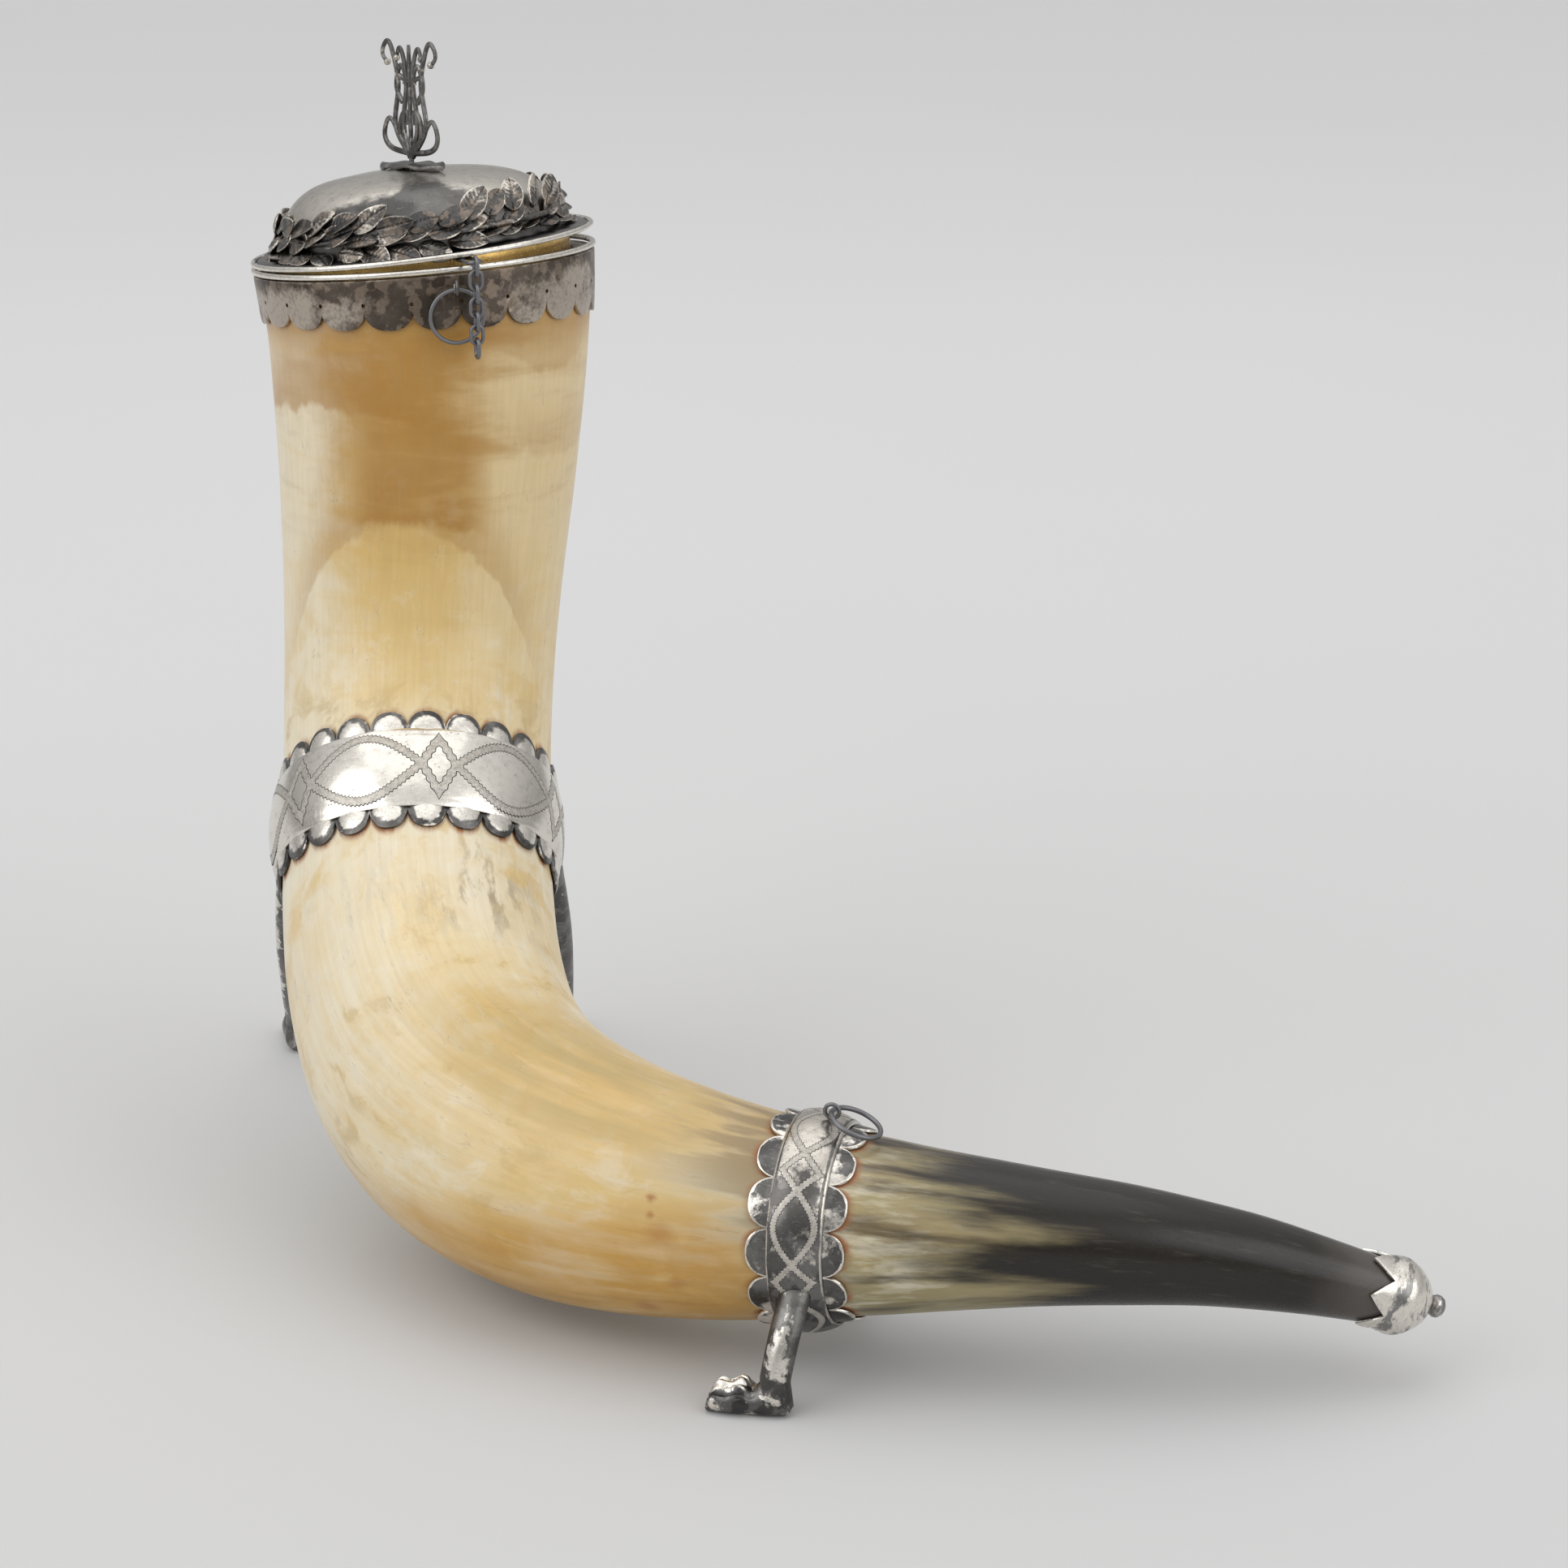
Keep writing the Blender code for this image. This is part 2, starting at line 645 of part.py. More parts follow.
    def saddle(self, place):
        """Leaf-shaped plate with ends that curl up, and the stud under it."""
        rings = []
        for share in np.linspace(-1, 1, SADDLE_STEPS):
            half = SADDLE_WIDTH / 2 * max(SADDLE_TIP, math.cos(share * math.pi / 2) ** 0.7)
            x = share * SADDLE_LENGTH / 2
            z = SADDLE_RISE * share**2 + SADDLE_FLICK * share**6
            low = Vector((x, 0, z))
            up = UP * SADDLE_SHEET
            out = Vector((0, half, 0))
            rings.append([low + out, low + out + up, low - out + up, low - out])
        bm = bmesh.new()
        loops = skin(bm, rings, True, False)
        bm.faces.new(loops[0])
        bm.faces.new(loops[-1])
        plate = finish("finial_saddle", mesh_of("finial_saddle", bm), self.tarnished())
        plate.matrix_world = place
        length = LID_SHEET + NUT_HEIGHT + 4 * GAP + SADDLE_SHEET
        bm = bmesh.new()
        bmesh.ops.create_cone(
            bm, cap_ends=True, segments=10, radius1=STUD_RADIUS, radius2=STUD_RADIUS, depth=length
        )
        bmesh.ops.translate(bm, verts=bm.verts[:], vec=UP * (SADDLE_SHEET - length) / 2)
        stud = bpy.data.objects.new("finial_stud", mesh_of("finial_stud", bm))
        stud.matrix_world = place
        self.helper(stud)
        add_boolean(plate, "stud", "UNION", stud)
        self.add(plate)

    def finial_nut(self, place):
        top = -GAP - LID_SHEET - GAP
        bore = STUD_RADIUS + GAP
        profile = [(NUT_RADIUS, top), (NUT_RADIUS, top - NUT_HEIGHT), (bore, top - NUT_HEIGHT), (bore, top)]
        self.add(turned("finial_nut", profile, place, self.silver(), steps=6))

    def mouth_ring(self):
        outward = self.round_mouth(EYE_TURN)
        out = (self.mouth.to_3x3() @ outward).normalized()
        out = (out - UP * out.z).normalized()
        distance = self.collar_outer + GAP + EYE_RADIUS + EYE_WIRE
        centre = self.mouth @ (outward * distance - UP * EYE_DROP)
        across = UP.cross(out)
        eye = basis(centre, out, across)
        self.add(wire_ring("mouth_eye", EYE_RADIUS, EYE_WIRE, eye, self.silver(), 12))
        peg = centre - UP * EYE_RADIUS
        lift = EYE_WIRE + GAP + MOUTH_RING_WIRE
        place = basis(peg, across, out)
        ring = wire_ring("mouth_ring", MOUTH_RING_RADIUS, MOUTH_RING_WIRE, place, self.gunmetal(), 24)
        drop = place.to_3x3().inverted() @ (UP * (lift - MOUTH_RING_RADIUS))
        ring.data.transform(Matrix.Translation(drop))
        self.add(ring)
        self.ring_front = distance + MOUTH_RING_WIRE

    def chain(self):
        """An eye on the lid's bezel and a chain of crossed links that hangs from it in front of the ring."""
        outward = self.round_mouth(CHAIN_TURN)
        reach_out = self.ring_front + CHAIN_CLEARANCE + LINK_WIRE + LINK_HALF_WIDTH
        bezel = self.collar_inner - BEZEL_CLEARANCE
        height = -(LID_WIRE + GAP + LINK_WIRE)
        start = bezel + GAP + LINK_WIRE
        eye = basis(outward * reach_out + UP * height, UP.cross(outward), outward)
        eye_place = self.lid @ eye
        loop = stadium(reach_out - start, LINK_HALF_WIDTH)
        self.add(wire_loop("lid_eye", loop, LINK_WIRE, eye_place, self.gunmetal()))
        pin = eye_place.translation.copy()
        out = self.lid.to_3x3() @ outward
        out = (out - UP * out.z).normalized()
        across = UP.cross(out)
        hang = 2 * LINK_WIRE + GAP
        for number in range(CHAIN_LINKS):
            edge_on = number % 2 == 0
            wide = out if edge_on else across
            place = basis(pin, wide, UP)
            loop = [Vector(point) + UP * hang for point in stadium(LINK_REACH, LINK_HALF_WIDTH)]
            self.add(wire_loop(f"chain_link_{number + 1}", loop, LINK_WIRE, place, self.gunmetal()))
            pin = pin + UP * (hang - LINK_REACH)

    def mount(self, name, at, width, crown, lobe, lobes, band_columns):
        """A scalloped strip with a convex band over it; returns the band's outer radius at its middle."""
        axis = self.axis
        half = width / 2
        low = GAP
        high = GAP + STRIP_SHEET

        def strip(turn):
            give = axis.give(at, turn)
            inner_edge = half / give
            edge = (half + lobe_height(turn, lobes, lobe)) / give
            places = (at - edge, at - inner_edge, at, at + inner_edge, at + edge)
            outer = [(s, axis.radius(s) + high) for s in places]
            inner = [(s, axis.radius(s) + low) for s in places]
            return outer + inner[::-1]

        def band(turn, offset):
            reach = half / axis.give(at, turn)
            base = high + GAP
            outer = []
            inner = []
            for share in BAND_SHARES:
                s = at + reach * share
                bottom = axis.radius(s) + base
                inner.append((s, bottom))
                outer.append((s, bottom + BAND_SHEET + crown * (1 - share * share) + offset))
            return outer, inner[::-2]

        def shell(turn):
            outer, inner = band(turn, 0.0)
            return outer + inner

        def core(turn):
            room, _ = band(turn, GAP)
            return [(at, 0.0)] + room + [(at, 0.0)]

        self.add(wrapped(f"{name}_strip", axis, strip, lobes * LOBE_COLUMNS, True, self.tarnished()))
        self.add(wrapped(f"{name}_band", axis, shell, band_columns, True, self.silver()))
        seat = wrapped(f"{name}_seat", axis, core, 2 * band_columns, False, self.silver())
        self.helper(seat)
        return axis.radius(at) + high + GAP + BAND_SHEET + crown, seat

    def leg(self, name, top, bend, heel, heading, seat):
        """A bar that springs from a band and bends forward into a paw, swept as one skin with a flat sole."""
        across = heading.cross(UP)
        ankle = heel + heading * PAW_LENGTH * ANKLE[0] + UP * PAW_HEIGHT * ANKLE[1]
        knee = top.lerp(ankle, KNEE_SHARE) + bend
        rings = []
        path = curve_through((top, knee, ankle), LEG_RINGS)
        for index, point in enumerate(path):
            ahead = (path[min(index + 1, LEG_RINGS)] - path[max(index - 1, 0)]).normalized()
            fore = (heading - ahead * heading.dot(ahead)).normalized()
            radius = LEG_RADIUS * (1 - LEG_TAPER * index / LEG_RINGS)
            rings.append(self.leg_ring(point, across, fore, radius, radius))
        for share, height, half_width, half_height, lean, toes in PAW_RINGS:
            centre = heel + heading * PAW_LENGTH * share + UP * PAW_HEIGHT * height
            up = (UP + heading * lean).normalized()
            ring = self.leg_ring(centre, across, up, PAW_WIDTH * half_width, PAW_HEIGHT * half_height)
            for index in TOE_GROOVES:
                ring[index] -= (UP * PAW_HEIGHT + heading * PAW_LENGTH * TOE_SETBACK) * toes
            rings.append(ring)
        rings.append([heel + heading * PAW_LENGTH + UP * PAW_HEIGHT * TOE_TIP_HEIGHT])
        for ring in rings:
            for point in ring:
                point.z = max(point.z, 0.0)
        bm = bmesh.new()
        loops = skin(bm, rings, True, False)
        bm.faces.new(loops[0])
        obj = finish(name, mesh_of(name, bm), self.tarnished())
        add_boolean(obj, "seat", "DIFFERENCE", seat)
        self.add(obj)

    def leg_ring(self, centre, across, up, half_width, half_height):
        turns = [2 * math.pi * step / LEG_SIDES for step in range(LEG_SIDES)]
        return [centre + across * math.cos(t) * half_width + up * math.sin(t) * half_height for t in turns]

    def legs(self, name, at, band_radius, seat, stance):
        """The pair on one band: each springs from its side, and its paw points towards the mouth."""
        splay, rake, bulge, below = stance
        centre, along, _, _ = self.axis.frame(at)
        heading = -Vector((along.x, along.y, 0)).normalized()
        right = heading.cross(UP)
        for side, word in ((1, "right"), (-1, "left")):
            out = right * side
            fall = (along.cross(out) * side).normalized()
            fall = fall if fall.z < 0 else -fall
            rim = out * math.cos(below) + fall * math.sin(below)
            top = centre + rim * (band_radius - LEG_SINK)
            heel = centre + out * (band_radius + splay) + heading * rake
            heel = Vector((heel.x, heel.y, 0))
            self.leg(f"{name}_leg_{word}", top, out * bulge, heel, heading, seat)

    def tail_ring(self):
        axis = self.axis
        at = TAIL_AT + TAIL_EYE_SHIFT
        turn = axis.turn_of(at, UP)
        centre, along, _, _ = axis.frame(at)
        out = (axis.point(at, turn, 1.0) - centre).normalized()
        across = along.cross(out)
        share = 2 * TAIL_EYE_SHIFT / TAIL_BAND_WIDTH
        band = axis.radius(at) + 2 * GAP + STRIP_SHEET + BAND_SHEET + TAIL_BAND_CROWN * (1 - share**2)
        eye = centre + out * (band + GAP + EYE_RADIUS + EYE_WIRE)
        self.add(wire_ring("tail_eye", EYE_RADIUS, EYE_WIRE, basis(eye, along, across), self.tarnished(), 12))
        far = 2 * TAIL_RING_RADIUS
        rest_s = at + far
        surface = axis.point(rest_s, turn, axis.radius(rest_s) + 2 * GAP + STRIP_SHEET + TAIL_RING_WIRE)
        slope = (surface - eye).normalized()
        place = basis(eye, slope, across.cross(slope) * -1)
        ring = wire_ring("tail_ring", TAIL_RING_RADIUS, TAIL_RING_WIRE, place, self.gunmetal(), 24)
        ring.data.transform(Matrix.Translation((TAIL_RING_RADIUS, 0, 0)))
        self.add(ring)

    def tip(self):
        axis = self.axis
        pole = HORN_END + CAP_SHEET + GAP + CAP_NOSE
        root = pole - CAP_LENGTH + CAP_PETAL
        inner_end = HORN_END + GAP

        def profile(turn):
            petal = abs(((turn * CAP_PETALS / (2 * math.pi)) % 1.0) * 2 - 1)
            edge = root - CAP_PETAL * petal**1.5
            low = GAP
            high = GAP + CAP_SHEET
            body = axis.radius(root) + high
            return [
                (inner_end, 0.0),
                (inner_end, axis.radius(inner_end) + low),
                (root, axis.radius(root) + low),
                (edge, axis.radius(edge) + low),
                (edge, axis.radius(edge) + high),
                (root, body),
                *((root + (pole - root) * share, body * width) for share, width in CAP_OUTLINE),
                (pole, 0.0),
            ]

        columns = CAP_PETALS * LOBE_COLUMNS
        self.add(wrapped("tip_cap", axis, profile, columns, False, self.silver()))
        centre, along, _, _ = axis.frame(pole + GAP + BUTTON_RADIUS)
        bm = bmesh.new()
        bmesh.ops.create_uvsphere(bm, u_segments=12, v_segments=8, radius=BUTTON_RADIUS)
        button = finish("tip_button", mesh_of("tip_button", bm), self.silver())
        button.matrix_world = basis(centre, UP, along)
        self.add(button)

    def centre_on_floor(self):
        """Moves everything so that the box of the parts stands on the floor, centred on the origin."""
        bpy.context.view_layer.update()
        graph = bpy.context.evaluated_depsgraph_get()
        corners = []
        for obj in self.parts.objects:
            if obj.type == "EMPTY":
                continue
            shape = obj.evaluated_get(graph)
            mesh = shape.to_mesh()
            points = np.empty(len(mesh.vertices) * 3, np.float32)
            mesh.vertices.foreach_get("co", points)
            world = np.array(shape.matrix_world)
            points = points.reshape(-1, 3) @ world[:3, :3].T + world[:3, 3]
            corners += [points.min(axis=0), points.max(axis=0)]
            shape.to_mesh_clear()
        low = np.min(corners, axis=0)
        high = np.max(corners, axis=0)
        shift = Vector((-(low[0] + high[0]) / 2, -(low[1] + high[1]) / 2, -low[2]))
        self.root.location = shift
        bpy.context.view_layer.update()
        return shift


def main():
    clear_scene()
    horn = Builder()
    horn.horn_body()
    horn.mouth_collar()
    horn.rim_bead()
    horn.lid_pieces()
    horn.wreath()
    horn.finial()
    horn.mouth_ring()
    horn.chain()
    mid_radius, mid_seat = horn.mount(
        "mid", MID_AT, MID_BAND_WIDTH, MID_BAND_CROWN, MID_LOBE, MID_LOBES, MID_BAND_COLUMNS
    )
    tail_radius, tail_seat = horn.mount(
        "tail", TAIL_AT, TAIL_BAND_WIDTH, TAIL_BAND_CROWN, TAIL_LOBE, TAIL_LOBES, TAIL_BAND_COLUMNS
    )
    horn.legs("rear", MID_AT, mid_radius, mid_seat, REAR_STANCE)
    horn.legs("front", TAIL_AT, tail_radius, tail_seat, FRONT_STANCE)
    horn.tail_ring()
    horn.tip()
    return horn, horn.centre_on_floor()


if __name__ == "__main__":
    main()
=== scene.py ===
"""Looks of a silver-mounted drinking horn with a lid, a keeper chain and paw feet.

The file is laid out as an add-on: sizes and colours are properties, and each group of pieces has an operator.
Run as a script, it builds every piece round the loaded frame and sets a plain studio stage.
"""

import math
import random

import bmesh
import bpy
import numpy as np
from bpy.props import FloatProperty, FloatVectorProperty, IntProperty, PointerProperty
from bpy.types import Operator, Panel, PropertyGroup
from mathutils import Matrix, Vector, noise


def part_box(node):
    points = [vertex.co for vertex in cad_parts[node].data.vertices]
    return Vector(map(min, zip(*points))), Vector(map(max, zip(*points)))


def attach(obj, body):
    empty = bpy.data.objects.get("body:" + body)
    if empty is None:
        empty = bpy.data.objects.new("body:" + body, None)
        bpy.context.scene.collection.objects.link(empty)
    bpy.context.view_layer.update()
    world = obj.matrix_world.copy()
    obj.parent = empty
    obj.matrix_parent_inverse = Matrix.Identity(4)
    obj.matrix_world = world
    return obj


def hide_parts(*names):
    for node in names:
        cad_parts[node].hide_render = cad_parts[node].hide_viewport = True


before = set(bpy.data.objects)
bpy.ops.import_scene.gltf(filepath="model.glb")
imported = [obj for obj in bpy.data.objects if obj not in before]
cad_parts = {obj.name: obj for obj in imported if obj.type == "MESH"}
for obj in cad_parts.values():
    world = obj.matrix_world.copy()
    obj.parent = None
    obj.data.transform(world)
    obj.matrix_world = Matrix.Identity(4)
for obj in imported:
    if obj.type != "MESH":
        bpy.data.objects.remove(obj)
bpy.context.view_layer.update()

bl_info = {
    "name": "Drinking Horn Looks",
    "version": (1, 0, 0),
    "blender": (4, 5, 0),
    "location": "3D View > Sidebar > Drinking Horn",
    "description": "Dresses a drinking horn with fine meshes and procedural finishes",
    "category": "Object",
}

# The horn's axis from mouth to tip and its outer radius there, as in the construction
HORN_AXIS = (
    (-0.1052, 0.0085, 0.2578),
    (-0.1050, 0.0025, 0.205),
    (-0.108, -0.005, 0.149),
    (-0.108, -0.034, 0.101),
    (-0.103, -0.080, 0.068),
    (-0.085, -0.129, 0.048),
    (-0.045, -0.168, 0.041),
    (0.007, -0.190, 0.0405),
    (0.0625, -0.202, 0.0411),
    (0.1175, -0.204, 0.0357),
    (0.1695, -0.199, 0.0206),
)
HORN_RADII = (0.0487, 0.0445, 0.0405, 0.0395, 0.0396, 0.0390, 0.0343, 0.0264, 0.0190, 0.0133, 0.0075)
MOUTH_DIRECTION = (0.080, -0.097, -1.0)
HORN_END = 0.5540
HORN_WALL = 0.0032
HOLLOW_DEPTH = 0.300
HORN_FACETS = 20
GAP = 0.0003

# Mouth mount, lid and finial
COLLAR_SHEET = 0.0009
COLLAR_CUSP = 0.0095
COLLAR_LOBE = 0.0055
COLLAR_LOBES = 22
COLLAR_LIP_DEPTH = 0.006
# Where the collar is brighter, partly rubbed and partly a painted highlight: turn, reach of turn and strength
COLLAR_RUBS_AND_HIGHLIGHTS = ((math.radians(54), math.radians(44), 0.56), (math.radians(-64), math.radians(40), 0.52))
# Nail holes: how far above the cusps they lie, and how far a punch reaches in and out from the surface
HOLE_RISE = 0.0026
PUNCH_IN = 0.004
PUNCH_OUT = 0.002
BEAD_WIRE = 0.0009
LID_WIRE = 0.0008
LID_SHEET = 0.0010
DOME_RADIUS = 0.0400
DOME_HEIGHT = 0.0215
# Outline of the dome from the finial's stud to its foot: radius and height
DOME_OUTLINE = (
    (0.00195, 0.0215),
    (0.0080, 0.0214),
    (0.0180, 0.0208),
    (0.0280, 0.0189),
    (0.0346, 0.0156),
    (0.0385, 0.0114),
    (0.0399, 0.0070),
    (0.0400, 0.0020),
)
DOME_DENT = 0.0004
DENT_SCALE = 55.0
DOME_SLUMP = 0.035
LID_COLUMNS = 192
BEZEL_COLUMNS = 160
BEZEL_DEPTH = 0.010
BEZEL_SHEET = 0.0010
BEZEL_CLEARANCE = 0.0009
LID_TILT = math.radians(2.2)
LID_RAISED_SIDE = math.radians(108)
STEM_WIRE = 0.0009
WREATH_HEIGHT = 0.0060
# Rows of leaves: climb, lean and climb where they stand up, in degrees, and the drop below the stem
LEAF_ROWS = ((22, 24, 62, -0.0030), (-18, 52, 18, 0.0026), (4, 38, 46, -0.0002))
UPRIGHT_TURN = math.radians(44)
UPRIGHT_REACH = math.radians(34)
FINIAL_HEIGHT = 0.0355
FINIAL_TURN = math.radians(-52)
FINIAL_LEAN = math.radians(6)
SADDLE_LENGTH = 0.033
SADDLE_WIDTH = 0.0095
SADDLE_SHEET = 0.0014
STUD_RADIUS = 0.0016
NUT_RADIUS = 0.0042
NUT_HEIGHT = 0.0025

# Rings, eyes and chain
EYE_RADIUS = 0.00195
EYE_WIRE = 0.00055
EYE_DROP = 0.0026
EYE_TURN = math.radians(14)
MOUTH_RING_RADIUS = 0.0076
MOUTH_RING_WIRE = 0.0006
TAIL_RING_RADIUS = 0.0070
TAIL_RING_WIRE = 0.0007
CHAIN_TURN = math.radians(19)
CHAIN_CLEARANCE = 0.0032
CHAIN_LINKS = 7
LINK_WIRE = 0.00055
LINK_HALF_WIDTH = 0.00175
LINK_REACH = 0.0053
WIRE_SIDES = 14

# Mid and tail mounts
STRIP_SHEET = 0.0008
BAND_SHEET = 0.0007
# A mount's place down the axis, its band and lobes, how bright the lobes' domes and rims are,
# and the painted light named polish: how much brighter the band is towards which turn, darker opposite
MID_MOUNT = {
    "at": 0.172,
    "width": 0.0255,
    "crown": 0.0018,
    "lobe": 0.0060,
    "lobes": 23,
    "shine": 0.50,
    "rim": 0.10,
    "polish": (0.10, math.radians(50)),
}
TAIL_MOUNT = {
    "at": 0.3967,
    "width": 0.0145,
    "crown": 0.0016,
    "lobe": 0.0056,
    "lobes": 13,
    "shine": 0.02,
    "rim": 0.50,
    "polish": (0.13, math.radians(-20)),
}
TAIL_EYE_SHIFT = 0.0033
# Powers that shape a lobe's outline
LOBE_POWERS = (2.4, 0.52)
HATCH_LINES = 3.5
RIBBON_STEPS = 76
RIBBON_POINT = 0.92
RIBBON_TOOTH = 0.10
RIBBON_LIFT = 0.00006
# Waves of a ribbon round its band, where they start, the share of a wave on the round side, and its swing
MID_RIBBON = {"periods": 6, "start": math.radians(-12.5), "cross": 0.78, "swing": 0.80}
TAIL_RIBBON = {"periods": 6, "start": math.radians(24), "cross": 0.64, "swing": 0.74}

# Paw feet
LEG_RADIUS = 0.0043
LEG_TAPER = 0.04
LEG_SINK = 0.0014
KNEE_SHARE = 0.45
PAW_LENGTH = 0.0245
PAW_HEIGHT = 0.0095
PAW_WIDTH = 0.0140
# The ankle above the paw: share of the paw's length and of its height
ANKLE = (0.26, 1.05)
# How far a pair of heels stands out and forward, the bow of its legs, and how far down the band they start
REAR_STANCE = {"splay": -0.0022, "rake": 0.072, "bulge": 0.0015, "below": math.radians(25)}
FRONT_STANCE = {"splay": 0.005, "rake": -0.0034, "bulge": 0.0015, "below": math.radians(20)}

# Tip cap
CAP_SHEET = 0.0009
CAP_LENGTH = 0.0205
CAP_PETAL = 0.0060
CAP_PETALS = 6
CAP_NOSE = 0.0070
BUTTON_RADIUS = 0.0027
BUTTON_SEAT = 0.0018
# Outline of the button: radius and height in shares of its own radius
KNOB_OUTLINE = (
    (0.02, -0.95),
    (0.62, -0.95),
    (0.60, -0.72),
    (0.95, -0.55),
    (1.14, -0.15),
    (1.12, 0.20),
    (0.90, 0.58),
    (0.50, 0.80),
    (0.02, 0.86),
)
CAP_SWIRL = (1.0, 1.0, 2.2)

# The photograph's camera, in the construction's own frame, and the width of its picture in pixels
CAMERA_PLACE = (0.0, -1.296, 0.523)
CAMERA_DIP = math.radians(18.06)
FOCAL_PIXELS = 5567
PICTURE_PIXELS = 1932
SENSOR_WIDTH = 36.0

# The studio: the floor's radius, and each lamp's place, what it points at and its size
FLOOR_RADIUS = 12.0
LAMPS = {
    "key": ((-1.35, -0.78, 0.98), (0, 0, 0.12), 1.7),
    "fill": ((1.28, -0.88, 0.82), (0, 0, 0.12), 1.6),
    "top": ((-0.15, 0.25, 1.6), (0, 0, 0.1), 2.0),
}

# Depth of the finest relief of each finish
METAL_RELIEF = 0.0003
RIBBON_RELIEF = 0.0002
HORN_RELIEF = 0.0004

UP = Vector((0.0, 0.0, 1.0))
SEED = 7


def colour_property(name, description, value):
    return FloatVectorProperty(
        name=name, description=description, default=value, size=3, subtype="COLOR", min=0.0, max=1.0
    )


def length_property(name, description, value):
    return FloatProperty(
        name=name, description=description, default=value, min=0.0, unit="LENGTH", precision=5
    )


def power_property(name, description, value):
    return FloatProperty(name=name, description=description, default=value, min=0.0, unit="POWER")


class HornColours(PropertyGroup):
    """Colours of the horn itself."""

    cream: colour_property("Cream", "Pale horn on the bend", (0.84, 0.71, 0.46))
    chalk: colour_property("Chalk", "Dry whitish horn below the mid mount", (0.83, 0.77, 0.62))
    honey: colour_property("Honey", "Warm horn of the upper half", (0.72, 0.505, 0.19))
    amber: colour_property("Amber", "Brown clear horn near the mouth and under the bend", (0.41, 0.20, 0.034))
    orange: colour_property("Orange", "Clear horn under the bend", (0.56, 0.285, 0.036))
    smoke: colour_property("Smoke", "Grey brown smears", (0.30, 0.215, 0.11))
    olive: colour_property("Olive", "Greenish horn behind the dark tip", (0.35, 0.295, 0.155))
    black: colour_property("Black", "Dark tip", (0.014, 0.0105, 0.0075))
    ash: colour_property("Ash", "Grey worn horn next to the cap", (0.080, 0.070, 0.061))
    residue: colour_property("Residue", "Rust-coloured polish residue along the mounts", (0.36, 0.125, 0.040))


class MetalColours(PropertyGroup):
    """Colours of the silver in its various states."""

    bright: colour_property("Bright silver", "Polished or rubbed silver", (0.82, 0.78, 0.71))
    rubbed: colour_property("Rubbed silver", "Dull silver where the tarnish is worn away", (0.62, 0.58, 0.52))
    tarnish: colour_property("Tarnish", "Dark sulphide film", (0.070, 0.068, 0.068))
    haze: colour_property("Haze", "Thin grey film", (0.24, 0.235, 0.23))
    rose: colour_property("Rose tarnish", "Brownish film on the collar", (0.37, 0.285, 0.215))
    collar: colour_property("Collar tarnish", "Brown black film on the collar", (0.072, 0.056, 0.044))
    wire: colour_property("Wire", "Oxidised wire of the rings and chain", (0.040, 0.034, 0.026))
    gilt: colour_property("Gilt", "Gilding inside the lid", (0.86, 0.57, 0.20))


class DetailSizes(PropertyGroup):
    """Sizes of the fine work that the construction leaves plain."""

    leaf_length: length_property("Leaf length", "Length of a laurel leaf", 0.0112)
    leaf_width: length_property("Leaf width", "Width of a laurel leaf", 0.0064)
    leaf_sheet: length_property("Leaf sheet", "Thickness of a laurel leaf", 0.00048)
    leaves: IntProperty(name="Leaves", description="Leaves in the wreath", default=93, min=6)
    lobe_dome: length_property("Lobe dome", "How far a lobe of the strips is domed out", 0.0009)
    ribbon: length_property("Ribbon", "Width of an engraved ribbon on the mid band", 0.0027)
    pierced_hole: length_property("Pierced hole", "Radius of the nail holes in the collar", 0.0006)


class StageSettings(PropertyGroup):
    """Plain studio settings."""

    floor: colour_property("Floor", "Colour of the floor and backdrop", (0.605, 0.605, 0.605))
    sky: colour_property("Sky", "Light that comes from all round", (0.82, 0.82, 0.82))
    glow: FloatProperty(
        name="Backdrop glow", description="Brightness added to the far backdrop", default=0.25, min=0.0
    )
    key: power_property("Key light", "Power of the soft light at the left", 9.6)
    fill: power_property("Fill light", "Power of the soft light at the right", 7.8)
    top: power_property("Top light", "Power of the overhead light", 6.0)


class DrinkingHornSettings(PropertyGroup):
    """All settings of the drinking horn."""

    horn: PointerProperty(name="Horn", description="Colours of the horn", type=HornColours)
    metal: PointerProperty(name="Metal", description="Colours of the silver", type=MetalColours)
    detail: PointerProperty(name="Detail", description="Sizes of the fine work", type=DetailSizes)
    stage: PointerProperty(name="Stage", description="Studio settings", type=StageSettings)


# Curves and the horn's own coordinates


def spline_bends(rows, start_slope):
    """Second derivatives of the cubic spline through rows: a given slope at the start, free at the end."""
    count = len(rows)
    matrix = np.zeros((count, count))
    right = np.zeros_like(rows)
    matrix[0, :2] = (2, 1)
    right[0] = 6 * (rows[1] - rows[0] - start_slope)
    matrix[-1, -1] = 1
    for row in range(1, count - 1):
        matrix[row, row - 1 : row + 2] = (1, 4, 1)
        right[row] = 6 * (rows[row + 1] - 2 * rows[row] + rows[row - 1])
    return np.linalg.solve(matrix, right)


def spline_points(rows, start_slope, count):
    """Points at an even spacing of the spline's own parameter."""
    bends = spline_bends(rows, start_slope)
    place = np.linspace(0, len(rows) - 1, count)
    index = np.minimum(place.astype(int), len(rows) - 2)
    b = (place - index)[:, None]
    a = 1 - b
    curve = ((a**3 - a) * bends[index] + (b**3 - b) * bends[index + 1]) / 6
    return a * rows[index] + b * rows[index + 1] + curve


def curve_through(points, count):
    rows = np.array([tuple(point) for point in points], float)
    return spline_points(rows, rows[1] - rows[0], count)


def full_turn(count):
    """Evenly spaced angles all the way round, without the last, which is the first again."""
    return np.linspace(0, math.tau, count, endpoint=False)


def unit(vectors):
    return vectors / np.linalg.norm(vectors, axis=-1, keepdims=True)


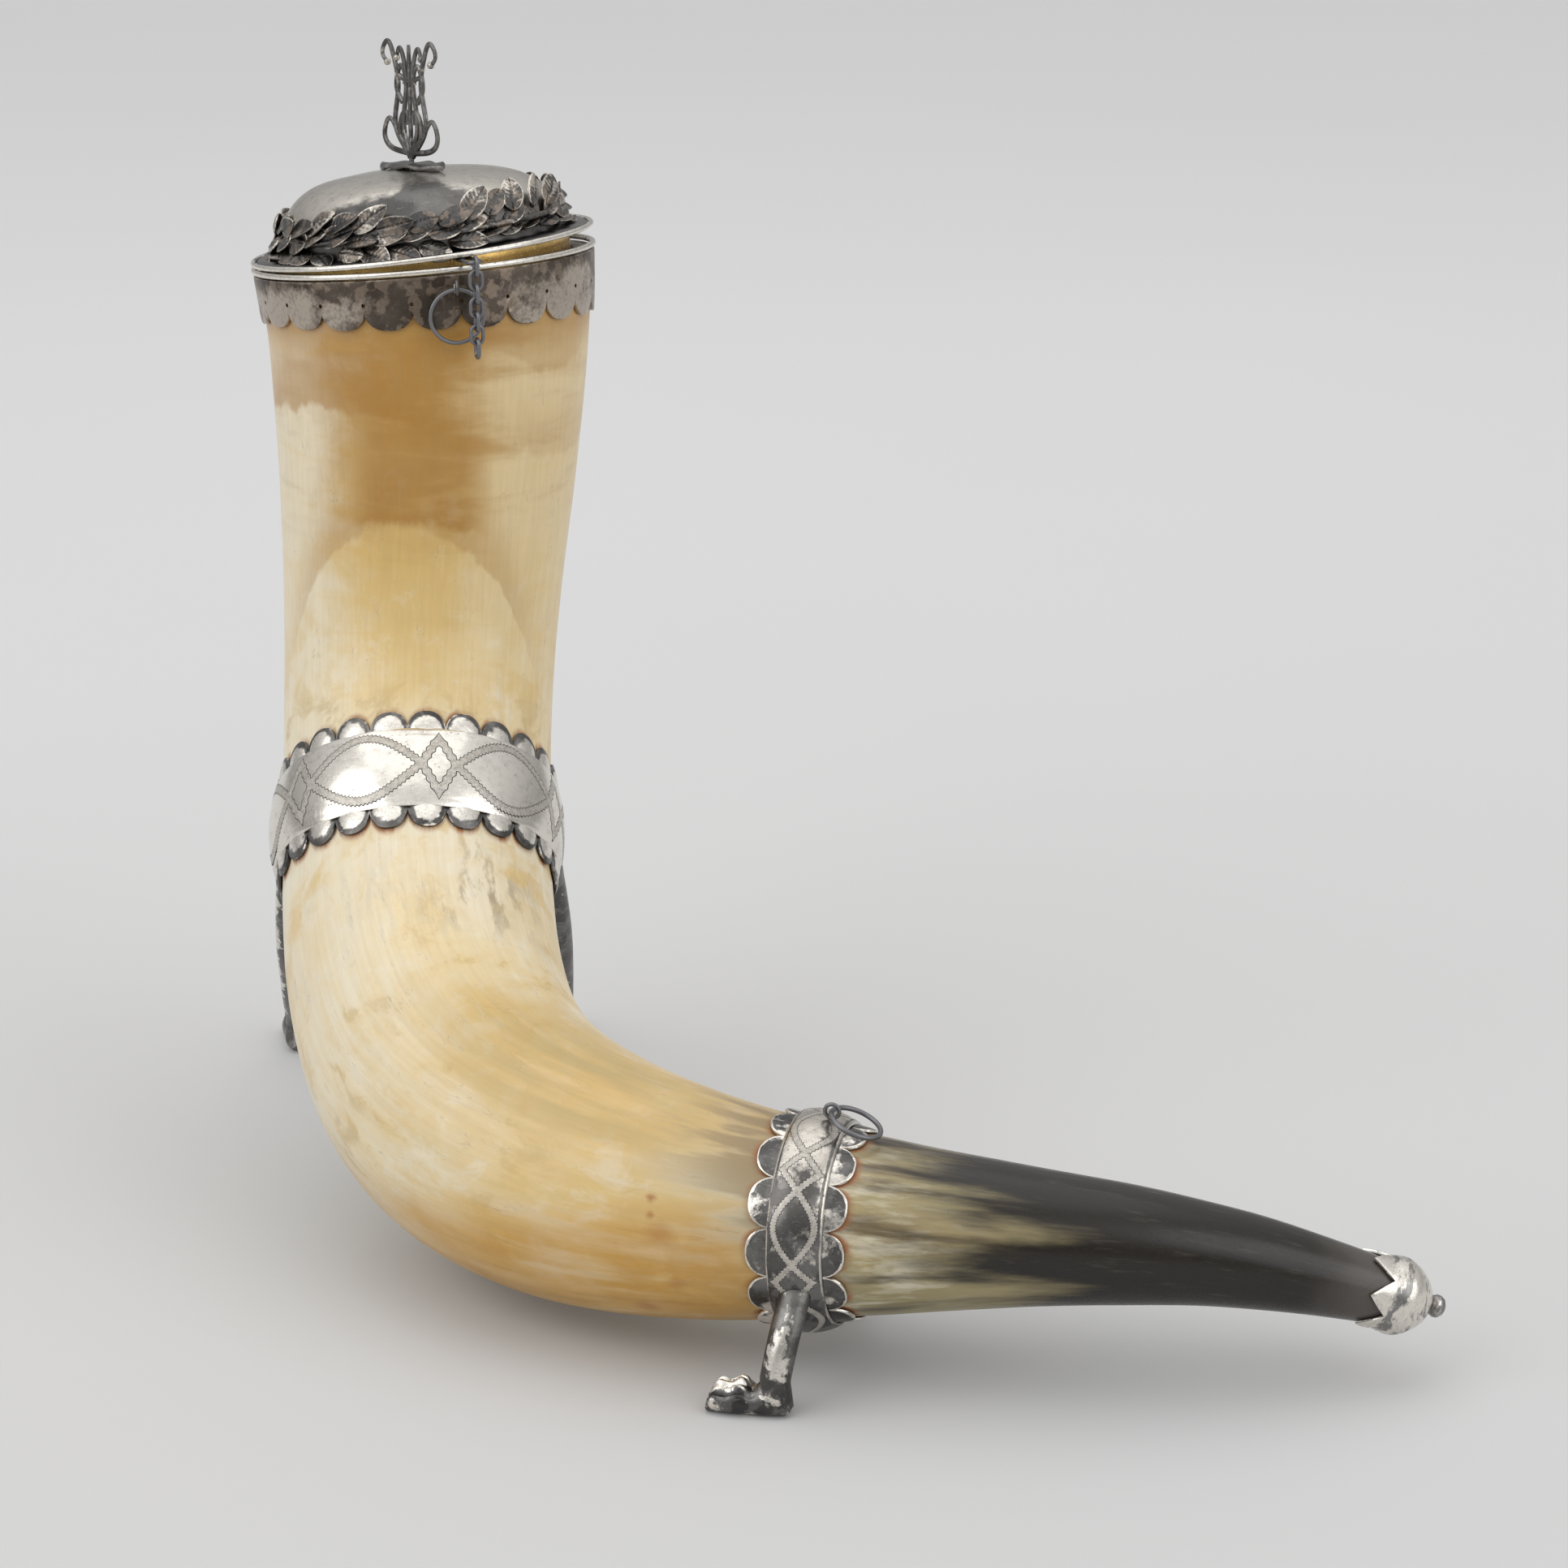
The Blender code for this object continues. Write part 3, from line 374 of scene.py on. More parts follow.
class HornAxis:
    """The horn's centre line by distance from the mouth, with a frame that doesn't twist."""

    SAMPLES = 600

    def __init__(self):
        rows = np.array([(*point, radius) for point, radius in zip(HORN_AXIS, HORN_RADII)])
        step = np.linalg.norm(rows[1, :3] - rows[0, :3])
        slope = np.array((*(unit(np.array(MOUTH_DIRECTION)) * step), rows[1, 3] - rows[0, 3]))
        samples = spline_points(rows, slope, self.SAMPLES)
        self.points = samples[:, :3]
        self.radii = samples[:, 3]
        steps = np.linalg.norm(np.diff(self.points, axis=0), axis=1)
        self.distance = np.concatenate(([0.0], np.cumsum(steps)))
        self.tangents = unit(np.gradient(self.points, self.distance, axis=0))
        self.fronts = self.carried_fronts()
        self.bends = np.gradient(self.tangents, self.distance, axis=0)
        self.shift = np.zeros(3)

    def carried_fronts(self):
        fronts = []
        front = np.array((0.0, -1.0, 0.0))
        for tangent in self.tangents:
            front = unit(front - tangent * np.dot(front, tangent))
            fronts.append(front)
        return np.array(fronts)

    def columns_at(self, table, s):
        return np.stack([np.interp(s, self.distance, table[:, column]) for column in range(3)], axis=-1)

    def frames(self, s):
        """Centres, directions towards the tip, fronts and sides; straight on past either end."""
        s = np.asarray(s, float)
        inside = np.clip(s, 0.0, self.distance[-1])
        along = unit(self.columns_at(self.tangents, inside))
        front = self.columns_at(self.fronts, inside)
        front = unit(front - along * np.sum(front * along, axis=-1, keepdims=True))
        centre = self.columns_at(self.points, inside) + along * (s - inside)[..., None] + self.shift
        return centre, along, front, np.cross(along, front)

    def radius(self, s):
        return np.interp(s, self.distance, self.radii)

    def out(self, s, turn):
        """Directions away from the axis."""
        _, _, front, side = self.frames(s)
        return front * np.cos(turn)[..., None] + side * np.sin(turn)[..., None]

    def place(self, s, turn, radius):
        s, turn, radius = np.broadcast_arrays(s, turn, radius)
        return self.frames(s)[0] + self.out(s, turn) * radius[..., None]

    def give(self, s, turn):
        """Length on the surface for a unit of length on the axis: under 1 on the inside of a bend."""
        return 1 - self.radius(s) * (self.out(s, turn) @ self.columns_at(self.bends, s))

    def turn_of(self, s, direction):
        _, _, front, side = self.frames(s)
        return math.atan2(np.dot(direction, side), np.dot(direction, front))


AXIS = HornAxis()
MOUTH_RADIUS = float(AXIS.radius(0.0))
COLLAR_OUTER = MOUTH_RADIUS + GAP + COLLAR_SHEET
HOLLOW_RADIUS = (MOUTH_RADIUS - HORN_WALL) * math.cos(math.pi / HORN_FACETS)
COLLAR_INNER = HOLLOW_RADIUS - GAP - COLLAR_SHEET
COLLAR_TOP = GAP + COLLAR_SHEET
BEAD_RADIUS = COLLAR_OUTER - GAP
BEAD_HEIGHT = COLLAR_TOP + GAP + BEAD_WIRE


def basis(origin, x_axis, z_axis):
    """A matrix with its Z along z_axis and its X as near x_axis as it can be."""
    z = Vector(z_axis).normalized()
    x = Vector(x_axis)
    x = (x - z * x.dot(z)).normalized()
    matrix = Matrix((x, z.cross(x), z)).transposed().to_4x4()
    matrix.translation = origin
    return matrix


def middle_of(node):
    low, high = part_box(node)
    return (low + high) / 2


def settle_axis():
    """Moves the axis to where the frame holds it, by the middle of the bead on the rim."""
    centre, along, _, _ = AXIS.frames(0.0)
    AXIS.shift = np.array(middle_of("rim_bead")) - (centre - along * BEAD_HEIGHT)


settle_axis()


def mouth_matrix():
    centre, along, _, _ = AXIS.frames(0.0)
    return basis(centre, (1, 0, 0), -along)


def round_mouth(turn):
    """Outward direction at an angle to the right of the front, in the mouth's own frame."""
    return Vector((math.sin(turn), -math.cos(turn), 0.0))


def lid_matrix():
    """The lid stands on the bead at one side and is propped up at the other, where the chain comes out."""
    height = BEAD_HEIGHT + BEAD_WIRE + GAP + LID_WIRE
    seat = round_mouth(LID_RAISED_SIDE + math.pi) * BEAD_RADIUS + UP * height
    hinge = UP.cross(round_mouth(LID_RAISED_SIDE))
    tip_up = Matrix.Rotation(-LID_TILT, 4, hinge)
    return mouth_matrix() @ Matrix.Translation(seat) @ tip_up @ Matrix.Translation(UP * height - seat)


# Meshes


def moved(matrix, points):
    array = np.asarray(points, float)
    m = np.array(matrix)
    return array @ m[:3, :3].T + m[:3, 3]


def set_attribute(mesh, name, values):
    """Stores one number or one vector for each point of a mesh."""
    values = np.asarray(values, np.float32)
    if values.size == len(mesh.vertices) * 3:
        mesh.attributes.new(name, "FLOAT_VECTOR", "POINT").data.foreach_set("vector", values.ravel())
    else:
        mesh.attributes.new(name, "FLOAT", "POINT").data.foreach_set("value", values.ravel())


def grid_mesh(name, grid, wrap_rows=False, wrap_columns=True, caps=True, **attributes):
    """A mesh of quads over rows and columns of points; rows that don't close on themselves get end caps."""
    rows, columns, _ = grid.shape
    index = np.arange(rows * columns).reshape(rows, columns)
    low = index if wrap_rows else index[:-1]
    high = np.roll(index, -1, axis=0) if wrap_rows else index[1:]
    if wrap_columns:
        quads = np.stack([low, np.roll(low, -1, 1), np.roll(high, -1, 1), high], axis=-1)
    else:
        quads = np.stack([low[:, :-1], low[:, 1:], high[:, 1:], high[:, :-1]], axis=-1)
    faces = quads.reshape(-1, 4).tolist()
    if caps and wrap_columns and not wrap_rows:
        faces += [index[0].tolist(), index[-1].tolist()]
    mesh = bpy.data.meshes.new(name)
    mesh.from_pydata(grid.reshape(-1, 3).tolist(), [], faces)
    for key, values in attributes.items():
        shape = grid.shape if np.ndim(values) == 3 else grid.shape[:2]
        set_attribute(mesh, key, np.broadcast_to(values, shape))
    return outward(mesh)


def outward(mesh):
    bm = bmesh.new()
    bm.from_mesh(mesh)
    bmesh.ops.recalc_face_normals(bm, faces=bm.faces[:])
    bm.to_mesh(mesh)
    bm.free()
    return mesh


def joined(name, meshes):
    """One mesh of several, with their attributes."""
    bm = bmesh.new()
    for mesh in meshes:
        bm.from_mesh(mesh)
        bpy.data.meshes.remove(mesh)
    result = bpy.data.meshes.new(name)
    bm.to_mesh(result)
    bm.free()
    return result


def add_piece(name, mesh, material, body, slot, *nodes, smooth_angle=50):
    """Puts a mesh in the scene as a piece that rides on a body and stands for construction nodes."""
    mesh.name = name
    mesh.shade_smooth()
    mesh.set_sharp_from_angle(angle=math.radians(smooth_angle))
    obj = bpy.data.objects.new(name, mesh)
    bpy.context.scene.collection.objects.link(obj)
    mesh.materials.append(material)
    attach(obj, body)
    if nodes:
        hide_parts(*nodes)
    return obj


def straight(s, turn, radius):
    """Places on the horn as if it were straight: across, across and down its length."""
    s, turn, radius = np.broadcast_arrays(s, turn, radius)
    return np.stack([radius * np.cos(turn), radius * np.sin(turn), s], axis=-1)


def wrapped_mesh(name, s, turn, radius, closed, **attributes):
    """A surface round the horn from arrays of distance, angle and radius."""
    grid = AXIS.place(s, turn, radius)
    return grid_mesh(name, grid, wrap_rows=closed, straight=straight(s, turn, radius), **attributes)


def turned_mesh(name, profile, matrix, columns, dent=0.0, slump=0.0, **attributes):
    """A closed profile of radius and height turned about Z, with shallow dents and one side slumped."""
    turn = full_turn(columns)
    radius = np.array([point[0] for point in profile])[:, None]
    height = np.array([point[1] for point in profile])[:, None]
    level = height * np.ones_like(turn)
    grid = np.stack([radius * np.sin(turn), -radius * np.cos(turn), level], axis=-1)
    local = grid.copy()
    if dent:
        flat = grid.reshape(-1, 3)
        wave = np.array([noise.noise(Vector(point) * DENT_SCALE) for point in flat]).reshape(grid.shape[:2])
        grid[..., 2] += (wave * dent - slump * grid[..., 0]) * np.clip(height / DOME_HEIGHT, 0.0, 1.0)
    return grid_mesh(name, moved(matrix, grid), wrap_rows=True, straight=local, **attributes)


def tube_mesh(name, path, wire, sides=12, closed=True, flat=1.0, normal=None, **attributes):
    """A round wire along a flat path; flat squashes its section along the normal of the path's plane."""
    path = np.asarray(path, float)
    if closed:
        ahead = np.roll(path, -1, axis=0) - np.roll(path, 1, axis=0)
    else:
        ahead = np.gradient(path, axis=0)
    ahead = unit(ahead)
    if normal is None:
        normal = np.linalg.svd(path - path.mean(axis=0))[2][2]
    normal = np.array(normal)
    across = unit(np.cross(ahead, normal))
    turns = full_turn(sides)
    wire = np.broadcast_to(wire, len(path))[:, None, None]
    section = across[:, None, :] * np.cos(turns)[None, :, None]
    section = section + normal[None, None, :] * np.sin(turns)[None, :, None] * flat
    grid = path[:, None, :] + section * wire
    return grid_mesh(name, grid, wrap_rows=closed, straight=grid, **attributes)


def ring_path(radius, count):
    turn = full_turn(count)
    return np.stack([radius * np.cos(turn), radius * np.sin(turn), np.zeros(count)], axis=-1)


def stadium_path(reach, half_width, end_points=14, side_points=6):
    """A long round loop in the X-Z plane that hangs down from the origin."""
    points = []
    for centre, start in ((-half_width, 0.0), (half_width - reach, math.pi)):
        for step in range(end_points + 1):
            turn = start + math.pi * step / end_points
            points.append((half_width * math.cos(turn), 0.0, centre + half_width * math.sin(turn)))
        side = half_width * math.cos(start + math.pi)
        gap = reach - 2 * half_width
        for step in range(1, side_points):
            share = step / side_points
            height = centre - gap * share if start == 0.0 else centre + gap * share
            points.append((side, 0.0, height))
    return np.array(points)


def lobe_columns(lobes, per_lobe):
    """Angles round a scalloped edge, dense at the cusps, and each one's place across its lobe, -1 to 1."""
    step = np.arange(per_lobe) / per_lobe
    across = -np.cos(math.pi * step)
    turn = ((across + 1) / 2 + np.arange(lobes)[:, None]) * math.tau / lobes
    return turn.ravel(), np.tile(across, lobes)


# Shader graphs


class Graph:
    """Adds nodes to one node tree; a value may be a socket to link or a constant to set."""

    def __init__(self, tree):
        self.tree = tree

    def add(self, kind, values=None, **settings):
        node = self.tree.nodes.new(kind)
        for key, value in settings.items():
            setattr(node, key, value)
        for key, value in (values or {}).items():
            self.feed(node.inputs[key], value)
        return node

    def feed(self, socket, value):
        if isinstance(value, bpy.types.NodeSocket):
            self.tree.links.new(value, socket)
        elif socket.type == "RGBA":
            socket.default_value = (*tuple(value)[:3], 1.0)
        else:
            socket.default_value = value

    def math(self, operation, a, b=0.0):
        return self.add("ShaderNodeMath", {0: a, 1: b}, operation=operation).outputs[0]

    def times(self, value, *others):
        for other in others:
            value = self.math("MULTIPLY", value, other)
        return value

    def plus(self, value, *others):
        for other in others:
            value = self.math("ADD", value, other)
        return value

    def less(self, value, other):
        return self.math("SUBTRACT", value, other)

    def mix(self, factor, a, b):
        return self.add("ShaderNodeMix", {0: factor, 6: a, 7: b}, data_type="RGBA").outputs[2]

    def step(self, value, low, high, to_low=0.0, to_high=1.0):
        values = {"Value": value, "From Min": low, "From Max": high, "To Min": to_low, "To Max": to_high}
        return self.add("ShaderNodeMapRange", values, interpolation_type="SMOOTHSTEP").outputs[0]

    def hump(self, value, centre, reach):
        """1 at a centre, falling smoothly to 0 at a reach to either side."""
        away = self.math("ABSOLUTE", self.less(value, centre))
        return self.step(away, 0.0, reach, 1.0, 0.0)

    def stretch(self, vector, factors):
        return self.add("ShaderNodeVectorMath", {0: vector, 1: factors}, operation="MULTIPLY").outputs[0]

    def noise(self, vector, scale, detail=4.0, roughness=0.55, distortion=0.0):
        values = {"Vector": vector, "Scale": scale, "Detail": detail, "Roughness": roughness}
        return self.add("ShaderNodeTexNoise", {**values, "Distortion": distortion}).outputs[0]

    def cells(self, vector, scale):
        return self.add("ShaderNodeTexVoronoi", {"Vector": vector, "Scale": scale}).outputs["Distance"]

    def attribute(self, name, output):
        return self.add("ShaderNodeAttribute", attribute_name=name).outputs[output]

    def group(self, tree, values):
        node = self.tree.nodes.new("ShaderNodeGroup")
        node.node_tree = tree
        for key, value in values.items():
            self.feed(node.inputs[key], value)
        return node.outputs

    def ramp(self, factor, stops):
        node = self.add("ShaderNodeValToRGB", {"Fac": factor})
        elements = node.color_ramp.elements
        while len(elements) < len(stops):
            elements.new(1.0)
        for element, (place, colour) in zip(elements, stops):
            element.position = place
            element.color = (*tuple(colour)[:3], 1.0)
        return node.outputs["Color"]

    def bump(self, height, strength, distance):
        values = {"Height": height, "Strength": strength, "Distance": distance}
        return self.add("ShaderNodeBump", values).outputs["Normal"]


def node_group(name, inputs, outputs, build):
    """A shader node group, made once; build gets the graph and the group's inputs and returns its outputs."""
    tree = bpy.data.node_groups.get(name)
    if tree:
        return tree
    tree = bpy.data.node_groups.new(name, "ShaderNodeTree")
    for key, kind in inputs.items():
        tree.interface.new_socket(key, in_out="INPUT", socket_type="NodeSocket" + kind)
    for key, kind in outputs.items():
        tree.interface.new_socket(key, in_out="OUTPUT", socket_type="NodeSocket" + kind)
    graph = Graph(tree)
    source = graph.add("NodeGroupInput").outputs
    target = graph.add("NodeGroupOutput")
    for key, value in build(graph, source).items():
        graph.feed(target.inputs[key], value)
    return tree


def aged_surface():
    """Cloudy patches, mottling, pits and fine scratches that all the finishes share."""

    def build(graph, source):
        place = source["Place"]
        patches = graph.noise(place, source["Patch Scale"], detail=5.0, roughness=0.6, distortion=0.5)
        fine_scale = graph.times(source["Patch Scale"], 7.0)
        mottle = graph.noise(place, fine_scale, detail=4.0, roughness=0.65)
        pit_scale = graph.times(source["Patch Scale"], 14.0)
        dot = graph.step(graph.cells(place, pit_scale), 0.10, 0.26, 1.0, 0.0)
        pits = graph.times(dot, graph.step(mottle, 0.50, 0.60))
        lines = graph.noise(graph.stretch(place, (260.0, 2600.0, 420.0)), 1.0, detail=2.0, roughness=0.5)
        crossed = graph.noise(graph.stretch(place, (2200.0, 300.0, 900.0)), 1.0, detail=2.0, roughness=0.5)
        scratches = graph.math("MAXIMUM", graph.step(lines, 0.62, 0.70), graph.step(crossed, 0.64, 0.72))
        return {"Patches": patches, "Mottle": mottle, "Pits": pits, "Scratches": scratches}

    inputs = {"Place": "Vector", "Patch Scale": "Float"}
    outputs = {"Patches": "Float", "Mottle": "Float", "Pits": "Float", "Scratches": "Float"}
    return node_group("Aged Surface", inputs, outputs, build)


def silver_finish():
    """Silver between rubbed bright and tarnished dark: rubbing and, on some pieces, painted light keep it
    bright, tarnish darkens it.
    """

    def build(graph, source):
        place = source["Place"]
        scale = source["Patch Scale"]
        aged = graph.group(aged_surface(), {"Place": place, "Patch Scale": scale})
        cloud = graph.plus(aged["Patches"], graph.times(aged["Mottle"], 0.22))
        level = graph.less(graph.plus(cloud, source["Tarnish"]), source["Wear"])
        low = graph.less(0.5, source["Softness"])
        high = graph.plus(0.5, source["Softness"])
        dark = graph.step(level, low, high)
        film = graph.step(graph.noise(place, graph.times(scale, 1.6), detail=6.0), 0.50, 0.56)
        film = graph.times(film, source["Stain"])
        film_colour = graph.mix(film, source["Dark"], source["Stain Colour"])
        drift = graph.step(graph.noise(place, graph.times(scale, 0.5), detail=3.0), 0.35, 0.65)
        film_colour = graph.mix(graph.times(drift, 0.13), film_colour, source["Bright"])
        colour = graph.mix(dark, source["Bright"], film_colour)
        haze = graph.times(graph.step(aged["Mottle"], 0.42, 0.70), 0.22)
        colour = graph.mix(haze, colour, source["Dark"])
        colour = graph.mix(graph.times(aged["Pits"], 0.70), colour, source["Dark"])
        colour = graph.mix(graph.times(aged["Scratches"], 0.12), colour, source["Bright"])
        rough = graph.plus(source["Roughness"], graph.times(dark, 0.08))
        rough = graph.plus(rough, graph.times(aged["Mottle"], 0.12))
        height = graph.less(graph.times(aged["Mottle"], 0.5), aged["Pits"])
        height = graph.less(height, graph.times(aged["Scratches"], 0.25))
        height = graph.plus(height, graph.times(dark, 0.35))
        return {"Colour": colour, "Roughness": rough, "Height": height}

    inputs = {
        "Place": "Vector",
        "Wear": "Float",
        "Tarnish": "Float",
        "Softness": "Float",
        "Patch Scale": "Float",
        "Roughness": "Float",
        "Bright": "Color",
        "Dark": "Color",
        "Stain": "Float",
        "Stain Colour": "Color",
    }
    outputs = {"Colour": "Color", "Roughness": "Float", "Height": "Float"}
    return node_group("Silver Finish", inputs, outputs, build)


def new_material(name):
    """A material with an empty graph but for its shader; returns the material, the graph and the shader."""
    material = bpy.data.materials.new(name)
    material.use_nodes = True
    shader = material.node_tree.nodes["Principled BSDF"]
    return material, Graph(material.node_tree), shader


def settings():
    return bpy.context.scene.drinking_horn


def silver(name, tarnish, patch=55.0, soft=0.05, rough=0.22, stain=0.0, bump=0.35, stretch=None, **colours):
    """A silver material; one that is made already is used again."""
    if name in bpy.data.materials:
        return bpy.data.materials[name]
    metal = settings().metal
    material, graph, shader = new_material(name)
    place = graph.attribute("straight", "Vector")
    values = {
        "Place": graph.stretch(place, stretch) if stretch else place,
        "Wear": graph.attribute("wear", "Fac"),
        "Tarnish": tarnish,
        "Softness": soft,
        "Patch Scale": patch,
        "Roughness": rough,
        "Bright": colours.get("bright", metal.bright),
        "Dark": colours.get("dark", metal.tarnish),
        "Stain": stain,
        "Stain Colour": colours.get("film", metal.haze),
    }
    finish = graph.group(silver_finish(), values)
    shader.inputs["Metallic"].default_value = 1.0
    graph.feed(shader.inputs["Base Color"], finish["Colour"])
    graph.feed(shader.inputs["Roughness"], finish["Roughness"])
    graph.feed(shader.inputs["Normal"], graph.bump(finish["Height"], bump, METAL_RELIEF))
    return material


def bead_silver():
    """Bright silver of the beads and of small fittings."""
    return silver("bead_silver", 0.22, patch=90.0, rough=0.18)


def ribbon_silver(name, fill, line):
    """Engraved ribbon: fine lines along it between dark toothed outlines, by the lane across it."""
    if name in bpy.data.materials:
        return bpy.data.materials[name]
    material, graph, shader = new_material(name)
    lane = graph.math("ABSOLUTE", graph.attribute("lane", "Fac"))
    place = graph.attribute("straight", "Vector")
    aged = graph.group(aged_surface(), {"Place": place, "Patch Scale": 110.0})
    shake = graph.noise(place, 900.0, detail=1.0)
    hatch = graph.plus(graph.times(lane, HATCH_LINES), graph.times(shake, 0.7))
    hatch = graph.step(graph.math("SINE", graph.times(hatch, math.tau)), -0.3, 0.8)
    colour = graph.mix(graph.times(hatch, 0.34), fill, line)
    colour = graph.mix(graph.times(graph.step(aged["Mottle"], 0.40, 0.70), 0.35), colour, line)
    outline = graph.step(lane, 0.76, 0.86)
    colour = graph.mix(outline, colour, line)
    graph.feed(shader.inputs["Base Color"], colour)
    graph.feed(shader.inputs["Roughness"], graph.plus(0.34, graph.times(aged["Mottle"], 0.12)))
    shader.inputs["Metallic"].default_value = 1.0
    height = graph.less(graph.times(hatch, -0.5), outline)
    graph.feed(shader.inputs["Normal"], graph.bump(height, 0.6, RIBBON_RELIEF))
    return material


# Grain of horn: stretch across and along it, then the detail, roughness and distortion of its noise
HORN_GRAIN = {
    "Fibre": ((650.0, 650.0, 16.0), 4.0, 0.60, 0.0),
    "Streak": ((140.0, 140.0, 9.0), 4.0, 0.52, 0.15),
    "Cloud": ((36.0, 36.0, 42.0), 5.0, 0.56, 0.3),
    "Smear": ((170.0, 170.0, 46.0), 5.0, 0.62, 0.3),
    "Growth": ((26.0, 26.0, 120.0), 4.0, 0.56, 0.3),
    "Flake": ((95.0, 95.0, 70.0), 6.0, 0.64, 0.5),
    "Crack": ((420.0, 420.0, 45.0), 2.0, 0.60, 0.0),
}


def horn_grain():
    """Fibres, streaks, clouds and cracks of horn, in the horn's straightened coordinates."""

    def build(graph, source):
        grain = {}
        for name, (factors, detail, roughness, distortion) in HORN_GRAIN.items():
            place = graph.stretch(source["Place"], factors)
            grain[name] = graph.noise(place, 1.0, detail, roughness, distortion)
        near = graph.math("ABSOLUTE", graph.less(grain["Crack"], 0.5))
        split = graph.step(near, 0.0, 0.012, 1.0, 0.0)
        grain["Crack"] = graph.times(split, graph.step(grain["Smear"], 0.54, 0.62))
        return grain

    return node_group("Horn Grain", {"Place": "Vector"}, {name: "Float" for name in HORN_GRAIN}, build)


GROWTH_KEYS = ("Edge", "Middle", "Reach", "Sag", "Depth", "Strength")


def growth_edge():
    """A clear layer of horn that stops at an arched edge towards the tip and fades away towards the mouth."""

    def build(graph, source):
        away = graph.less(source["Turn"], source["Middle"])
        sag = graph.times(away, away, source["Sag"])
        edge = graph.plus(source["Edge"], sag, source["Wobble"])
        above = graph.less(edge, source["Along"])
        sharp = graph.step(above, -0.0006, 0.0020)
        fade = graph.step(above, source["Depth"], graph.times(source["Depth"], 0.15))
        inside = graph.times(source["Reach"], 0.45)
        side = graph.step(graph.math("ABSOLUTE", away), source["Reach"], inside)
        return {"Mask": graph.times(sharp, fade, side, source["Strength"])}

    inputs = {name: "Float" for name in ("Along", "Turn", *GROWTH_KEYS, "Wobble")}
    return node_group("Growth Edge", inputs, {"Mask": "Float"}, build)


def lobed_edge():
    """Distance beyond a mount's scalloped edge, by the distance from its middle and the turn round it."""

    def build(graph, source):
        cycle = graph.times(source["Turn"], graph.math("DIVIDE", source["Lobes"], math.tau))
        across = graph.less(graph.times(graph.math("FRACT", cycle), 2.0), 1.0)
        bulge = graph.math("POWER", graph.math("ABSOLUTE", across), LOBE_POWERS[0])
        lobe = graph.math("POWER", graph.less(1.0, bulge), LOBE_POWERS[1])
        edge = graph.plus(source["Half"], graph.times(source["Lobe"], lobe))
        return {"Distance": graph.less(graph.math("ABSOLUTE", source["Along"]), edge)}

    inputs = {name: "Float" for name in ("Along", "Turn", "Half", "Lobe", "Lobes")}
    return node_group("Lobed Edge", inputs, {"Distance": "Float"}, build)


def blend(a, b, share):
    return tuple(x + (y - x) * share for x, y in zip(a, b))


# Ground colour by shares of the horn's length: one colour, another, and how far the first goes towards it
HORN_GROUND = (
    (0.025, "amber", "honey", 0.15),
    (0.060, "amber", "honey", 0.22),
    (0.105, "amber", "honey", 0.60),
    (0.150, "honey", "cream", 0.0),
    (0.215, "honey", "cream", 0.25),
    (0.275, "honey", "cream", 0.85),
    (0.345, "cream", "chalk", 0.80),
    (0.405, "honey", "cream", 0.60),
    (0.480, "honey", "cream", 0.85),
    (0.560, "honey", "cream", 0.45),
    (0.640, "honey", "cream", 0.25),
    (0.700, "olive", "cream", 0.40),
    (0.740, "olive", "cream", 0.0),
)
# Clear layers near the mouth: edge, middle turn, reach of turn, sag, depth and strength
GROWTH_EDGES = (
    (0.0395, 0.75, 1.05, 0.010, 0.034, 0.62),
    (0.0700, -0.02, 0.55, 0.020, 0.050, 0.85),
    (0.0715, 0.05, 1.35, 0.042, 0.030, 0.42),
    (0.0285, -0.94, 0.50, -0.040, 0.018, 0.34),
    (0.0520, -1.08, 0.62, -0.020, 0.020, 0.26),
)
# Reddish spots: distance, turn, radius and strength, and the horn's radius there
HORN_SPOTS = (
    (0.3607, 0.84, 0.0022, 0.75),
    (0.3612, 0.98, 0.0016, 0.60),
    (0.3640, 1.12, 0.0050, 0.30),
    (0.3577, 1.99, 0.0042, 0.45),
    (0.3677, 1.64, 0.0040, 0.28),
)
SPOTTED_RADIUS = 0.030
# Where the dark tail starts
TAIL_START = 0.412


